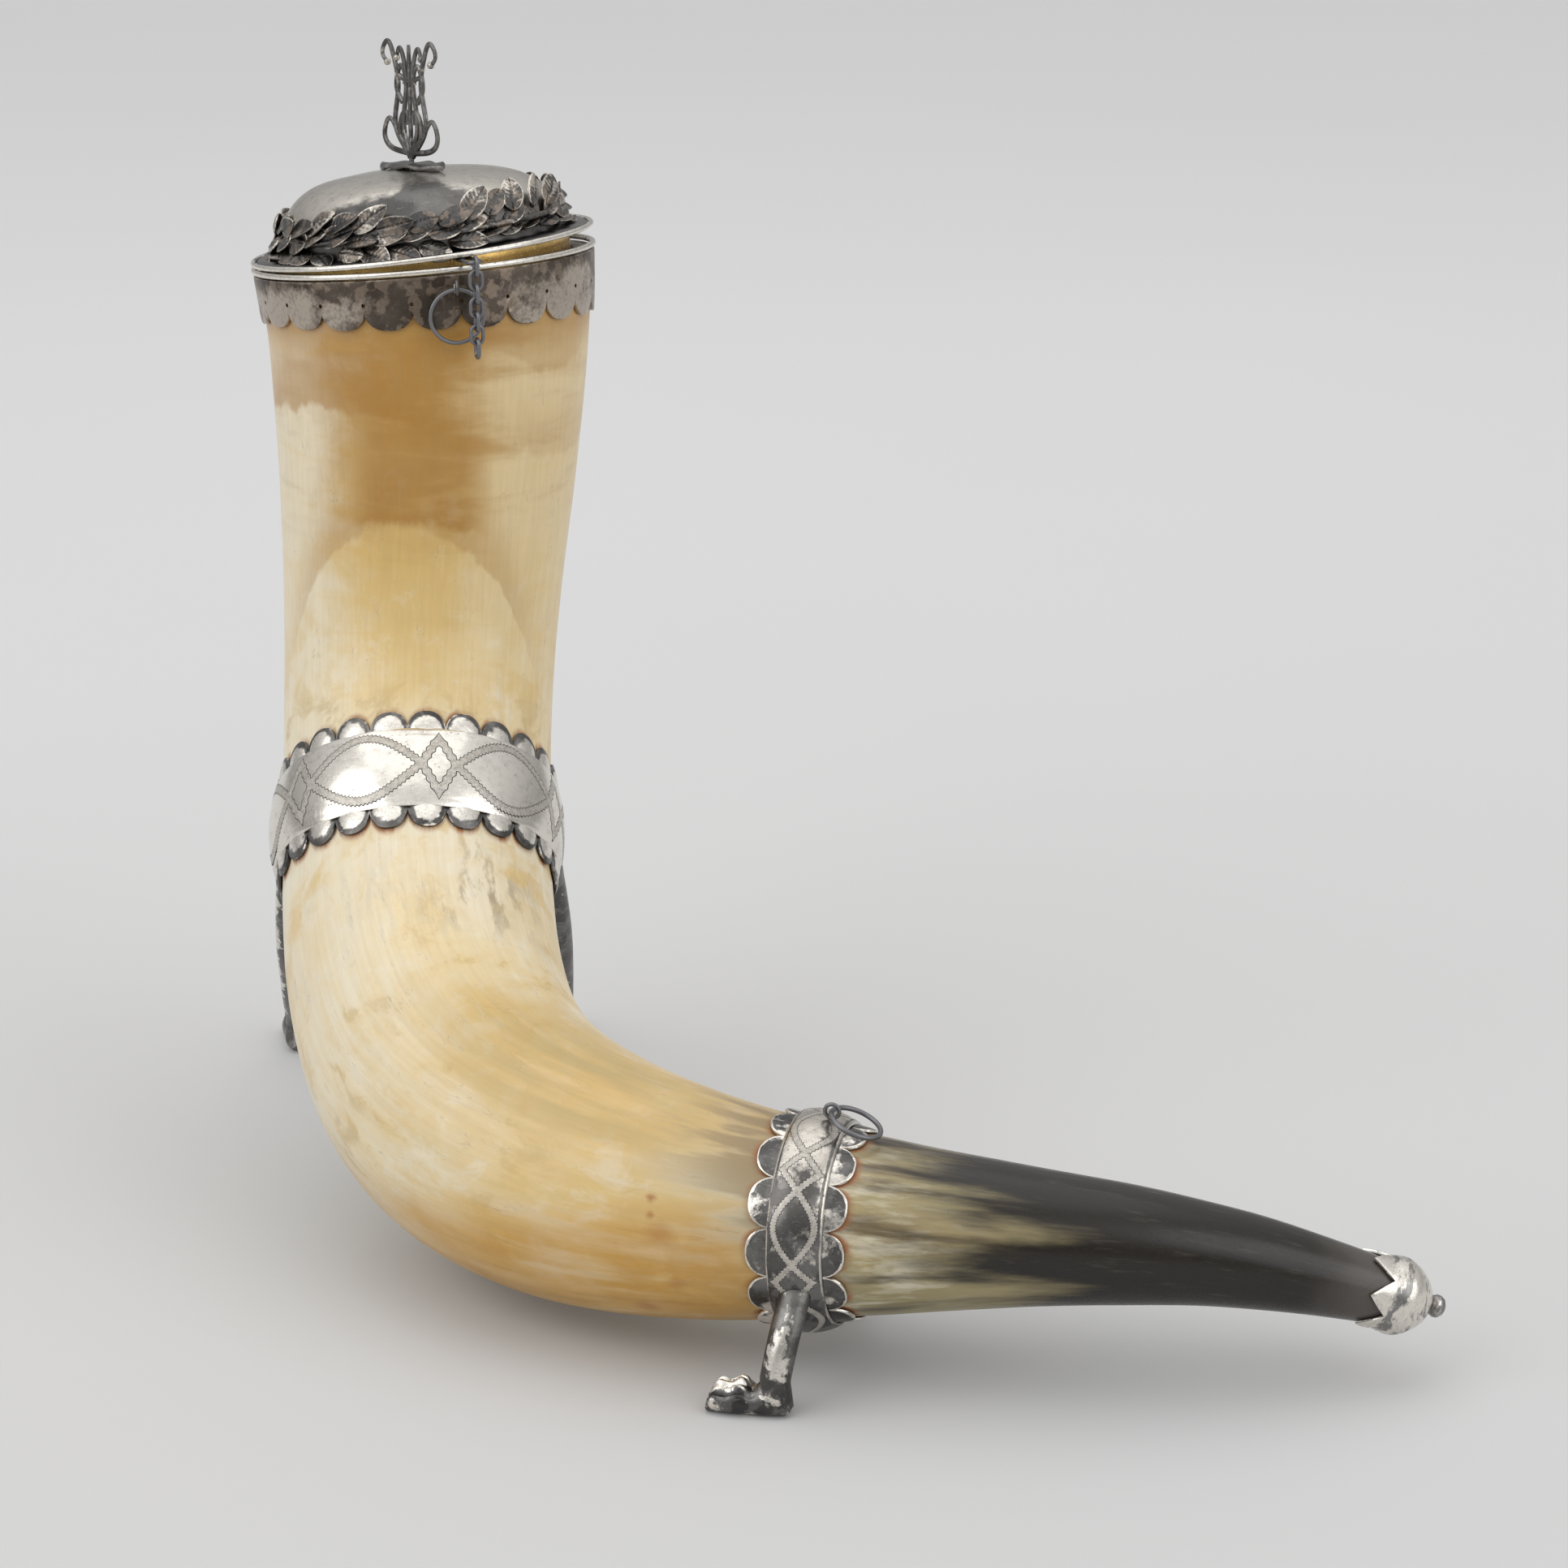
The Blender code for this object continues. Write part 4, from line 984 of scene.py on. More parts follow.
class HornPaint(Graph):
    """Colours of the horn, laid one over another by distance from the mouth and turn round the axis."""

    def __init__(self, tree, colours):
        super().__init__(tree)
        self.colours = colours
        self.place = self.attribute("straight", "Vector")
        axes = self.add("ShaderNodeSeparateXYZ", {0: self.place}).outputs
        self.s = axes["Z"]
        self.turn = self.math("ARCTAN2", axes["Y"], axes["X"])
        self.grain = self.group(horn_grain(), {"Place": self.place})
        self.cloud = self.less(self.grain["Cloud"], 0.5)
        # Masks that fade out at the back, where the turn jumps, on its left and its right, and at the tail
        self.fade_left = self.step(self.turn, 3.10, 2.40)
        self.fade_right = self.step(self.turn, -3.10, -2.40)
        self.before_tail = self.step(self.s, 0.402, 0.385)
        self.base = self.ground()

    def lay(self, colour, *masks):
        """Lays a colour over the others, as strong as the product of its masks."""
        self.base = self.mix(self.times(*masks), self.base, colour)

    def grained(self, name, low, high, least=0.0, most=1.0):
        """A mask that follows one kind of grain."""
        return self.step(self.grain[name], low, high, least, most)

    def swing(self, name, scale):
        """One kind of grain as a swing to both sides of zero."""
        return self.times(self.less(self.grain[name], 0.5), scale)

    def ground(self):
        """The run of the horn's own colour from the mouth to the tail."""
        share = self.plus(self.math("DIVIDE", self.s, HORN_END), self.times(self.cloud, 0.10))
        stops = []
        for place, one, other, part in HORN_GROUND:
            stops.append((place, blend(getattr(self.colours, one), getattr(self.colours, other), part)))
        return self.ramp(share, stops)

    def lay_flanks(self):
        """Pale flanks on both sides of the upper horn's front, and a lighter place on that front."""
        colours = self.colours
        upper = self.step(self.s, 0.200, 0.165)
        away = self.plus(self.less(self.turn, 0.03), self.times(self.cloud, 0.8), self.swing("Growth", 0.7))
        flank = self.times(self.step(self.math("ABSOLUTE", away), 0.20, 0.80, 0.0, 0.92), upper)
        sideways = self.math("SINE", self.turn)
        self.lay(blend(colours.cream, colours.chalk, 0.60), flank, self.step(sideways, -0.15, 0.15))
        self.lay(blend(colours.cream, colours.honey, 0.30), flank, self.step(sideways, 0.15, -0.15))
        gleam = self.times(self.hump(self.s, 0.057, 0.014), self.hump(self.turn, 0.12, 0.55))
        light = blend(colours.honey, colours.cream, 0.30)
        self.lay(light, gleam, self.grained("Growth", 0.35, 0.60, 0.2, 0.75))

    def lay_growth_edges(self):
        """Clear brown layers that end in arched edges, and the brown rim under the collar."""
        amber = self.colours.amber
        wobble = self.plus(self.swing("Smear", 0.008), self.times(self.cloud, 0.010))
        for row in GROWTH_EDGES:
            values = dict(zip(GROWTH_KEYS, row))
            values.update({"Along": self.s, "Turn": self.turn, "Wobble": wobble})
            self.lay(amber, self.group(growth_edge(), values)["Mask"])
        self.lay(amber, self.step(self.s, 0.028, 0.013), self.grained("Cloud", 0.30, 0.60, 0.35, 0.8))

    def lay_mottling(self):
        """Clouds, smears, growth lines and flakes from the mouth to the tail."""
        colours = self.colours
        warm = self.times(self.grained("Cloud", 0.50, 0.64, 0.0, 0.50), self.step(self.s, 0.405, 0.385))
        self.lay(colours.honey, warm, self.step(self.s, 0.060, 0.130, 0.1, 1.0))
        pale = self.grained("Smear", 0.54, 0.70, 0.0, 0.45)
        dull = self.step(self.s, 0.040, 0.190, 0.05, 1.0)
        self.lay(colours.chalk, pale, dull, self.step(self.s, 0.40, 0.37))
        body = self.step(self.s, 0.42, 0.40)
        clear = self.step(self.s, 0.10, 0.05, 0.15, 1.0)
        self.lay(colours.amber, self.grained("Growth", 0.46, 0.72, 0.0, 0.30), clear, body)
        self.lay(colours.honey, self.grained("Growth", 0.52, 0.30, 0.0, 0.22), body)
        self.lay(colours.honey, self.grained("Flake", 0.50, 0.68, 0.0, 0.60), dull, body)
        self.lay(colours.chalk, self.grained("Flake", 0.48, 0.32, 0.0, 0.60), dull, body)

    def lay_bend(self):
        """The chalky outside of the bend, its long streaks, its warm inside with darker olive streaks that
        are partly painted shade, and brown stains.
        """
        colours = self.colours
        outer = self.times(self.step(self.turn, -0.10, 0.70), self.hump(self.s, 0.240, 0.105), self.fade_left)
        self.lay(colours.chalk, outer, self.grained("Smear", 0.35, 0.60, 0.30, 0.75))
        streaked = self.times(self.step(self.s, 0.27, 0.34), self.step(self.s, 0.415, 0.395))
        self.lay(colours.chalk, streaked, self.grained("Streak", 0.48, 0.70, 0.0, 0.40))
        self.lay(colours.honey, streaked, self.grained("Streak", 0.52, 0.30, 0.0, 0.45))
        inner = self.times(self.hump(self.turn, -0.05, 1.20), self.hump(self.s, 0.338, 0.105))
        inner = self.times(inner, self.before_tail)
        warm = blend(colours.honey, colours.orange, 0.40)
        self.lay(warm, inner, self.grained("Cloud", 0.25, 0.60, 0.35, 0.80))
        # Darker olive streaks on the bend's inside: streaky colour, partly painted shade.
        self.lay(colours.olive, inner, self.grained("Streak", 0.66, 0.34, 0.10, 0.58))
        stain = self.times(self.hump(self.s, 0.290, 0.110), self.grained("Flake", 0.56, 0.70, 0.0, 0.42))
        self.lay(blend(colours.honey, colours.smoke, 0.55), stain, self.before_tail)

    def lay_underside(self):
        """Clear orange horn under the bend, and whitish and smoky streaks ahead of the tail mount."""
        colours = self.colours
        lower = self.plus(self.turn, self.times(self.less(self.s, 0.34), 8.0))
        under = self.times(self.step(lower, 0.92, 1.45), self.hump(self.s, 0.345, 0.135), self.before_tail)
        under = self.times(under, self.fade_left)
        self.lay(colours.orange, under, self.grained("Cloud", 0.28, 0.62, 0.60, 0.95))
        self.lay(colours.honey, under, self.grained("Flake", 0.50, 0.68, 0.0, 0.45))
        self.lay(colours.cream, under, self.grained("Streak", 0.50, 0.66, 0.0, 0.26))
        self.lay(colours.amber, under, self.grained("Streak", 0.46, 0.30, 0.0, 0.40))
        white = self.times(self.hump(self.s, 0.382, 0.032), self.hump(self.turn, 0.80, 0.95))
        pale = blend(colours.chalk, colours.olive, 0.44)
        self.lay(pale, white, self.grained("Streak", 0.36, 0.56, 0.20, 0.90))
        ahead = self.times(self.step(self.s, 0.365, 0.385), self.step(self.turn, 1.5, 0.9), self.fade_right)
        self.lay(colours.smoke, ahead, self.grained("Streak", 0.44, 0.60, 0.10, 0.55))

    def lay_dry_horn(self):
        """Dry, smeared horn beside the mid mount, grey streaks on top before the tail, cracks and fibres."""
        colours = self.colours
        dry = self.times(self.hump(self.s, 0.224, 0.034), self.grained("Smear", 0.50, 0.63))
        side = self.plus(self.hump(self.turn, -0.50, 0.60), 0.25)
        self.lay(colours.chalk, self.hump(self.s, 0.232, 0.034), self.times(side, 0.50))
        self.lay(colours.smoke, dry, self.times(side, 0.62))
        self.lay(colours.honey, self.hump(self.s, 0.215, 0.030), self.grained("Cloud", 0.48, 0.58, 0.0, 0.6))
        self.lay(colours.smoke, self.hump(self.s, 0.148, 0.022), self.grained("Flake", 0.50, 0.66, 0.0, 0.30))
        upward = self.step(self.attribute("rise", "Fac"), 0.25, 0.95)
        grey = self.times(self.hump(self.s, 0.385, 0.040), upward)
        self.lay(colours.smoke, grey, self.grained("Streak", 0.46, 0.60))
        self.lay(colours.smoke, self.grain["Crack"], self.step(self.s, 0.43, 0.38, 0.0, 0.36))
        self.lay(colours.smoke, self.times(self.less(1.0, self.grained("Fibre", 0.36, 0.64)), 0.085))

    def lay_spots(self):
        """Small ragged reddish spots under the bend."""
        around = self.times(self.turn, SPOTTED_RADIUS)
        flat = self.add("ShaderNodeCombineXYZ", {0: self.s, 1: around}).outputs[0]
        ragged = self.swing("Smear", 0.004)
        for distance, angle, radius, strength in HORN_SPOTS:
            middle = (distance, angle * SPOTTED_RADIUS, 0.0)
            gap = self.add("ShaderNodeVectorMath", {0: flat, 1: middle}, operation="DISTANCE").outputs
            spot = self.step(self.plus(gap["Value"], ragged), radius, radius * 0.15, 0.0, strength)
            self.lay(self.colours.residue, spot)

    def lay_tail(self):
        """Chalky and black streaks that run into the dark tail, and its worn end; returns the dark's mask."""
        colours = self.colours
        streaked = self.hump(self.s, 0.418, 0.034)
        self.lay(colours.chalk, streaked, self.grained("Smear", 0.50, 0.68, 0.0, 0.50))
        self.lay(colours.chalk, streaked, self.grained("Fibre", 0.48, 0.66, 0.0, 0.30))
        self.lay(colours.black, streaked, self.grained("Streak", 0.48, 0.72, 0.0, 0.66))
        start = self.plus(
            TAIL_START,
            self.times(self.step(self.turn, -0.2, 0.5, 0.0, 0.010), self.fade_left),
            self.times(self.hump(self.turn, 0.86, 0.34), 0.018),
            self.times(self.step(self.turn, 1.36, 1.75, 0.0, 0.018), self.fade_left),
        )
        reach = self.plus(self.less(self.s, start), self.swing("Streak", 0.095), self.swing("Fibre", 0.020))
        dark = self.step(reach, -0.014, 0.026)
        worn = self.step(self.plus(self.s, self.times(self.cloud, 0.02)), 0.520, 0.543)
        self.lay(self.mix(worn, colours.black, colours.ash), dark)
        self.lay(colours.ash, dark, self.grained("Fibre", 0.56, 0.74, 0.0, 0.45))
        return dark

    def lay_residue(self):
        """Polish residue along the scalloped edges of the mid and tail mounts; returns its mask."""
        edges = []
        for mount, name in ((MID_MOUNT, "along_mid"), (TAIL_MOUNT, "along_tail")):
            values = {"Along": self.attribute(name, "Fac"), "Turn": self.turn, "Half": mount["width"] / 2}
            values.update({"Lobe": mount["lobe"], "Lobes": float(mount["lobes"])})
            gap = self.group(lobed_edge(), values)["Distance"]
            edges.append(self.step(gap, 0.0024, 0.0001))
        crust = self.times(self.math("MAXIMUM", *edges), self.grained("Smear", 0.38, 0.62, 0.25, 0.9))
        self.lay(self.colours.residue, crust)
        return crust


def horn_material():
    """Aged horn: its painted colours, a soft gloss and fine relief."""
    material, _, shader = new_material("aged_horn")
    paint = HornPaint(material.node_tree, settings().horn)
    paint.lay_flanks()
    paint.lay_growth_edges()
    paint.lay_mottling()
    paint.lay_bend()
    paint.lay_underside()
    paint.lay_dry_horn()
    paint.lay_spots()
    dark = paint.lay_tail()
    crust = paint.lay_residue()
    aged = paint.group(aged_surface(), {"Place": paint.place, "Patch Scale": 45.0})
    rough = paint.plus(0.25, paint.times(aged["Mottle"], 0.16), paint.times(crust, 0.25))
    rough = paint.less(rough, paint.times(dark, 0.06))
    height = paint.less(paint.times(paint.grain["Fibre"], 0.30), paint.grain["Crack"])
    height = paint.less(height, paint.times(aged["Scratches"], 0.3))
    height = paint.plus(height, paint.times(crust, 0.6))
    paint.feed(shader.inputs["Base Color"], paint.base)
    paint.feed(shader.inputs["Roughness"], rough)
    paint.feed(shader.inputs["Normal"], paint.bump(height, 0.16, HORN_RELIEF))
    shader.inputs["Specular IOR Level"].default_value = 0.42
    shader.inputs["IOR"].default_value = 1.52
    return material


HORN_COLUMNS = 128
HORN_ROWS = 260
HOLLOW_ROWS = 60
# Depth of the growth ripples, and how close they lie across and along the horn
HORN_RIPPLE = 0.00018
RIPPLE_SCALE = (14, 14, 45)


def horn_mesh():
    """The horn with its hollow: slight growth ripples that only go inward."""
    turn = full_turn(HORN_COLUMNS)
    outer = np.linspace(HORN_END, 0.0, HORN_ROWS)
    share = np.linspace(0.0, 1.0, HOLLOW_ROWS)[:-1] * math.pi / 2
    inner = HOLLOW_DEPTH * np.sin(share)
    radius_out = AXIS.radius(outer)[:, None] * np.ones_like(turn)
    flat = straight(outer[:, None], turn, radius_out) * RIPPLE_SCALE
    waves = np.array([noise.noise(Vector(point)) for point in flat.reshape(-1, 3)])
    radius_out = radius_out - HORN_RIPPLE * (1 + waves.reshape(radius_out.shape))
    radius_in = ((AXIS.radius(inner) - HORN_WALL) * np.cos(share))[:, None] * np.ones_like(turn)
    s = np.concatenate([outer, inner])[:, None] * np.ones_like(turn)
    radius = np.concatenate([radius_out, radius_in])
    rise = AXIS.out(s, turn)[..., 2]
    along = {}
    for mount, name in ((MID_MOUNT, "along_mid"), (TAIL_MOUNT, "along_tail")):
        along[name] = (s - mount["at"]) * AXIS.give(mount["at"], turn)
    return wrapped_mesh("horn_body_fine", s, turn, radius, False, rise=rise, **along)


# Mouth mount


def mouth_local(mesh):
    """Points of a mesh in the mouth's own frame."""
    points = np.empty(len(mesh.vertices) * 3)
    mesh.vertices.foreach_get("co", points)
    return moved(mouth_matrix().inverted(), points.reshape(-1, 3))


def with_holes(mesh, cutters):
    """The mesh with closed cutters taken away by a Boolean."""
    obj = bpy.data.objects.new("pierced", mesh)
    tool = bpy.data.objects.new("punches", cutters)
    for item in (obj, tool):
        bpy.context.scene.collection.objects.link(item)
    modifier = obj.modifiers.new("punch", "BOOLEAN")
    modifier.operation = "DIFFERENCE"
    modifier.solver = "EXACT"
    modifier.object = tool
    graph = bpy.context.evaluated_depsgraph_get()
    result = bpy.data.meshes.new_from_object(obj.evaluated_get(graph))
    for item in (obj, tool):
        bpy.data.objects.remove(item)
    return result


def lobe_share(across):
    """Outline of a lobe: 0 at its cusps and 1 at its middle, rather square-shouldered."""
    return np.maximum(0.0, 1 - np.abs(across) ** LOBE_POWERS[0]) ** LOBE_POWERS[1]


def collar_shell():
    """The sleeve round the mouth with its scalloped lower edge, its top and its lip inside the hollow."""
    turn, across = lobe_columns(COLLAR_LOBES, 20)
    edge = COLLAR_CUSP + COLLAR_LOBE * lobe_share(across)
    fit = MOUTH_RADIUS + GAP
    outer = COLLAR_OUTER
    lip = HOLLOW_RADIUS - GAP
    drop = AXIS.radius(edge) - MOUTH_RADIUS
    rows = [
        (-COLLAR_TOP, COLLAR_INNER + 0.0004),
        (-COLLAR_TOP, outer - 0.0004),
        (-COLLAR_TOP + 0.0001, outer - 0.0001),
    ]
    for share in np.linspace(0.06, 0.97, 12):
        s = -COLLAR_TOP + (edge + COLLAR_TOP) * share
        rows.append((s, outer + AXIS.radius(s) - MOUTH_RADIUS))
    rows += [
        (edge - 0.00008, outer + drop - 0.00010),
        (edge, outer + drop - 0.00040),
        (edge, fit + drop),
        (-GAP, fit),
        (-GAP, lip),
        (COLLAR_LIP_DEPTH, lip - 0.0003),
        (COLLAR_LIP_DEPTH, COLLAR_INNER - 0.0002),
        (-0.0008, COLLAR_INNER),
    ]
    s = np.array([row[0] * np.ones_like(turn) for row in rows])
    radius = np.array([row[1] * np.ones_like(turn) for row in rows])
    return wrapped_mesh("collar", s, turn, radius, True)


def collar_punches():
    """Round punches for a nail hole above each cusp."""
    hole = settings().detail.pierced_hole
    place = COLLAR_CUSP - HOLE_RISE
    along = AXIS.frames(place)[1]
    punches = []
    for lobe in range(COLLAR_LOBES):
        angle = math.tau * lobe / COLLAR_LOBES
        base = AXIS.place(place, angle, COLLAR_OUTER - PUNCH_IN)
        tip = AXIS.place(place, angle, COLLAR_OUTER + PUNCH_OUT)
        punches.append(tube_mesh("punch", np.linspace(base, tip, 3), hole, closed=False, normal=along))
    return joined("punches", punches)


def collar_mesh():
    """The pierced collar, rubbed along its edges, and brighter at two places round it, partly rubbed and
    partly painted highlight.
    """
    mesh = with_holes(collar_shell(), collar_punches())
    local = mouth_local(mesh)
    down = -local[:, 2]
    angle = np.arctan2(-local[:, 0], -local[:, 1])
    across = ((angle * COLLAR_LOBES / math.tau) % 1.0) * 2 - 1
    to_edge = COLLAR_CUSP + COLLAR_LOBE * lobe_share(across) - down
    wear = 0.06 + 0.20 * np.clip(1 - np.abs(to_edge) / 0.0006, 0, 1)
    wear += 0.3 * np.clip(1 - np.abs(down + COLLAR_TOP) / 0.001, 0, 1)
    below_top = np.clip((down + 0.001) / 0.006, 0, 1)
    # Two brighter places at the collar's left and right: partly rubbing and partly painted highlight.
    for middle, reach, rubbed in COLLAR_RUBS_AND_HIGHLIGHTS:
        wear += rubbed * np.clip(1 - np.abs(angle - middle) / reach, 0, 1) ** 0.7 * below_top
    mesh.attributes.remove(mesh.attributes["straight"])
    set_attribute(mesh, "straight", local)
    set_attribute(mesh, "wear", wear)
    return mesh


def eye_and_ring():
    """Matrices of the eye under the bead and of the ring that hangs in it."""
    outward = round_mouth(EYE_TURN)
    out = mouth_matrix().to_3x3() @ outward
    out = (out - UP * out.z).normalized()
    distance = COLLAR_OUTER + GAP + EYE_RADIUS + EYE_WIRE
    centre = mouth_matrix() @ (outward * distance - UP * EYE_DROP)
    across = UP.cross(out)
    peg = centre - UP * EYE_RADIUS
    drop = UP * (EYE_WIRE + GAP + MOUTH_RING_WIRE - MOUTH_RING_RADIUS)
    return basis(centre, out, across), basis(peg + drop, across, out), distance + MOUTH_RING_WIRE


# Lid


def lid_shell_mesh():
    """The dome and its flange; the dome is brighter on top and towards the sides, most at the left, partly
    rubbed and partly painted highlight, and darker in front as a painted reflection.
    """
    dome = curve_through([(radius, 0, height) for radius, height in DOME_OUTLINE], 60)[:, (0, 2)]
    flange = BEAD_RADIUS - LID_WIRE - GAP
    half = LID_SHEET / 2
    foot = [(DOME_RADIUS + 0.0002, half + 0.0005), (DOME_RADIUS + 0.0008, half)]
    edge = [(flange - 0.0002, half), (flange, half - 0.0002), (flange, -half)]
    edge.append((DOME_RADIUS - LID_SHEET, -half))
    ahead = unit(np.gradient(dome, axis=0))
    inside = dome + np.stack([ahead[:, 1], -ahead[:, 0]], axis=-1) * LID_SHEET
    profile = np.array([*dome, *foot, *edge, *inside[::-1]])
    turn = full_turn(LID_COLUMNS)
    out = profile[:, :1] / DOME_RADIUS
    left = -out * np.sin(turn)
    # Painted light: the brighter top and sides stand partly for highlights, and the darker front for a
    # reflection of dark surroundings.
    worn = 0.85 * profile[:, 1:] / DOME_HEIGHT + 0.50 * np.maximum(left, -0.6 * left)
    worn = worn - 0.42 * out * np.cos(turn)
    wear = 0.72 * np.clip((worn - 0.30) / 0.45, 0, 1)
    wear[len(dome) :] = 0.12
    return turned_mesh("lid_shell_fine", profile, lid_matrix(), LID_COLUMNS, DOME_DENT, DOME_SLUMP, wear=wear)


def lid_bezel_mesh():
    """The gilt ring under the lid that drops into the mouth."""
    top = -LID_SHEET / 2 - GAP
    low = top - BEZEL_DEPTH
    outer = COLLAR_INNER - BEZEL_CLEARANCE
    inner = outer - BEZEL_SHEET
    ring = [(outer, top), (outer, low + 0.0004), (outer - 0.0002, low), (inner, low), (inner, top)]
    return turned_mesh("lid_bezel_fine", ring, lid_matrix(), BEZEL_COLUMNS, wear=0.6)


def leaf_mesh(length, width, sheet, arch, curl):
    """A broad oval leaf along +X: arched along its length, with an incised midrib and raised side veins."""
    t = np.linspace(0.0, 1.0, 33)[:, None]
    u = np.linspace(-1.0, 1.0, 15)[None, :]
    half = width / 2 * np.maximum(np.sin(math.pi * t**0.86), 0.0) ** 0.62 + width * 0.025 * (1 - t)
    spine = arch * length * np.sin(math.pi * t * 0.9)
    veins = np.sin(math.tau * (8.0 * t - 1.4 * np.abs(u))) * (1 - np.abs(u) ** 6) * np.sin(math.pi * t)
    midrib = np.exp(-((u / 0.09) ** 2)) * (1 - 0.5 * t)
    top = spine + curl * half * u**2 + sheet * (0.20 * veins - 0.9 * midrib)
    thick = sheet * (1.6 - 0.7 * u**2)
    x = (t * length) * np.ones_like(u)
    y = half * u
    upper = np.stack([x, y, top], axis=-1)
    lower = np.stack([x, y, top - thick], axis=-1)
    grid = np.concatenate([upper, lower[:, ::-1]], axis=1)
    # Brighter edges and tips: partly rubbing and partly painted highlight; the midrib groove is darker.
    worn = 0.04 + 0.26 * np.abs(u) ** 14 + 0.06 * veins - 0.25 * midrib + 0.10 * t**4
    wear = np.concatenate([worn, np.full_like(worn, 0.05)], axis=1)
    return grid, wear


def wreath_mesh():
    """Laurel leaves in staggered rows on a stem round the dome, all the same way round, some standing up."""
    detail = settings().detail
    rng = random.Random(SEED)
    stem = DOME_RADIUS + GAP + STEM_WIRE
    base = lid_matrix() @ Matrix.Translation(UP * WREATH_HEIGHT)
    meshes = []
    for index in range(detail.leaves):
        turn = math.tau * (index + rng.uniform(-0.3, 0.3)) / detail.leaves
        climb, lean, upright, drop = LEAF_ROWS[index % len(LEAF_ROWS)]
        standing = max(0.0, 1 - abs(turn - UPRIGHT_TURN) / UPRIGHT_REACH)
        climb = math.radians(climb + (upright - climb) * min(1.0, 1.6 * standing) + rng.uniform(-15, 15))
        lean = math.radians(lean + rng.uniform(-13, 13))
        grid, wear = leaf_mesh(
            detail.leaf_length * rng.uniform(0.84, 1.14),
            detail.leaf_width * rng.uniform(0.88, 1.12),
            detail.leaf_sheet,
            rng.uniform(0.04, 0.12),
            rng.uniform(-0.28, 0.22),
        )
        out = round_mouth(turn)
        along = UP.cross(out)
        face = out * math.cos(lean) + UP * math.sin(lean)
        heading = along * math.cos(climb) + face.cross(along) * math.sin(climb)
        roll = Matrix.Rotation(rng.uniform(-0.35, 0.35), 4, "X")
        world = moved(base @ basis(out * stem - UP * drop, heading, face) @ roll, grid)
        meshes.append(grid_mesh("leaf", world, straight=world, wear=wear + rng.uniform(-0.06, 0.12)))
    path = moved(base, ring_path(stem, 128))
    meshes.append(tube_mesh("stem", path, STEM_WIRE, wear=0.1))
    return joined("wreath_fine", meshes)


# Finial


# Bars of the finial, across and up in shares of its height, and whether each has a mirrored one beside it
SCROLLS = (
    (
        ((0.02, 0.04), (0.22, 0.28), (0.17, 0.58), (0.22, 0.84), (0.31, 0.97), (0.39, 0.88), (0.32, 0.80)),
        True,
    ),
    (((0.03, 0.07), (0.28, 0.10), (0.39, 0.21), (0.32, 0.34), (0.23, 0.27)), True),
    (((0.02, 0.05), (0.10, 0.30), (0.05, 0.60), (0.08, 0.84), (0.14, 0.92), (0.18, 0.84)), True),
    (((0.05, 0.12), (0.15, 0.20), (0.13, 0.36), (0.05, 0.40), (0.04, 0.30)), True),
    (((0.11, 0.48), (0.19, 0.60), (0.14, 0.77), (0.07, 0.72), (0.08, 0.63)), True),
    (((0.00, 0.66), (0.00, 0.80), (0.00, 0.95)), False),
    (((0.00, 0.00), (0.00, 0.40), (0.00, 0.72)), False),
    (((-0.17, 0.70), (0.00, 0.66), (0.17, 0.70)), False),
)
SCROLL_BAR = 0.0017
SCROLL_SHEET = 0.0013
SCROLL_STEPS = 48
# Mirrored bars with more points than this end in a ball
SCROLL_BALL_POINTS = 5


def ball_mesh(centre, radius, wear):
    bm = bmesh.new()
    bmesh.ops.create_uvsphere(bm, u_segments=20, v_segments=12, radius=radius)
    mesh = bpy.data.meshes.new("ball")
    bmesh.ops.translate(bm, verts=bm.verts[:], vec=centre)
    bm.to_mesh(mesh)
    bm.free()
    set_attribute(mesh, "straight", np.array([vertex.co for vertex in mesh.vertices]))
    set_attribute(mesh, "wear", np.full(len(mesh.vertices), wear))
    return mesh


def finial_seat():
    """Matrix of the foot of the leaning openwork plate."""
    foot = lid_matrix() @ Matrix.Translation(UP * (DOME_HEIGHT + SADDLE_SHEET + 2 * GAP))
    return foot @ Matrix.Rotation(FINIAL_LEAN, 4, "Y") @ Matrix.Rotation(FINIAL_TURN, 4, "Z")


def scroll_mesh():
    """The openwork plate of flat bars, some of which end in balls."""
    seat = finial_seat()
    shape = {"closed": False, "flat": SCROLL_SHEET / SCROLL_BAR, "normal": seat.to_3x3() @ Vector((0, 1, 0))}
    taper = np.interp(np.linspace(0, 1, SCROLL_STEPS), (0, 0.5, 0.9, 1), (1.05, 1.0, 0.8, 0.7))
    meshes = []
    for path, mirrored in SCROLLS:
        for side in (1, -1) if mirrored else (1,):
            points = [seat @ (Vector((side * x, 0, z)) * FINIAL_HEIGHT) for x, z in path]
            line = curve_through(points, SCROLL_STEPS)
            meshes.append(tube_mesh("bar", line, taper * SCROLL_BAR / 2, **shape, wear=0.25))
            if mirrored and len(path) > SCROLL_BALL_POINTS:
                meshes.append(ball_mesh(Vector(line[-1]), SCROLL_BAR * 0.62, 0.4))
    return joined("finial_scrolls_fine", meshes)


def finial_foot():
    """Matrix of the place where the saddle lies on the dome."""
    return lid_matrix() @ Matrix.Rotation(FINIAL_TURN, 4, "Z") @ Matrix.Translation(UP * (DOME_HEIGHT + GAP))


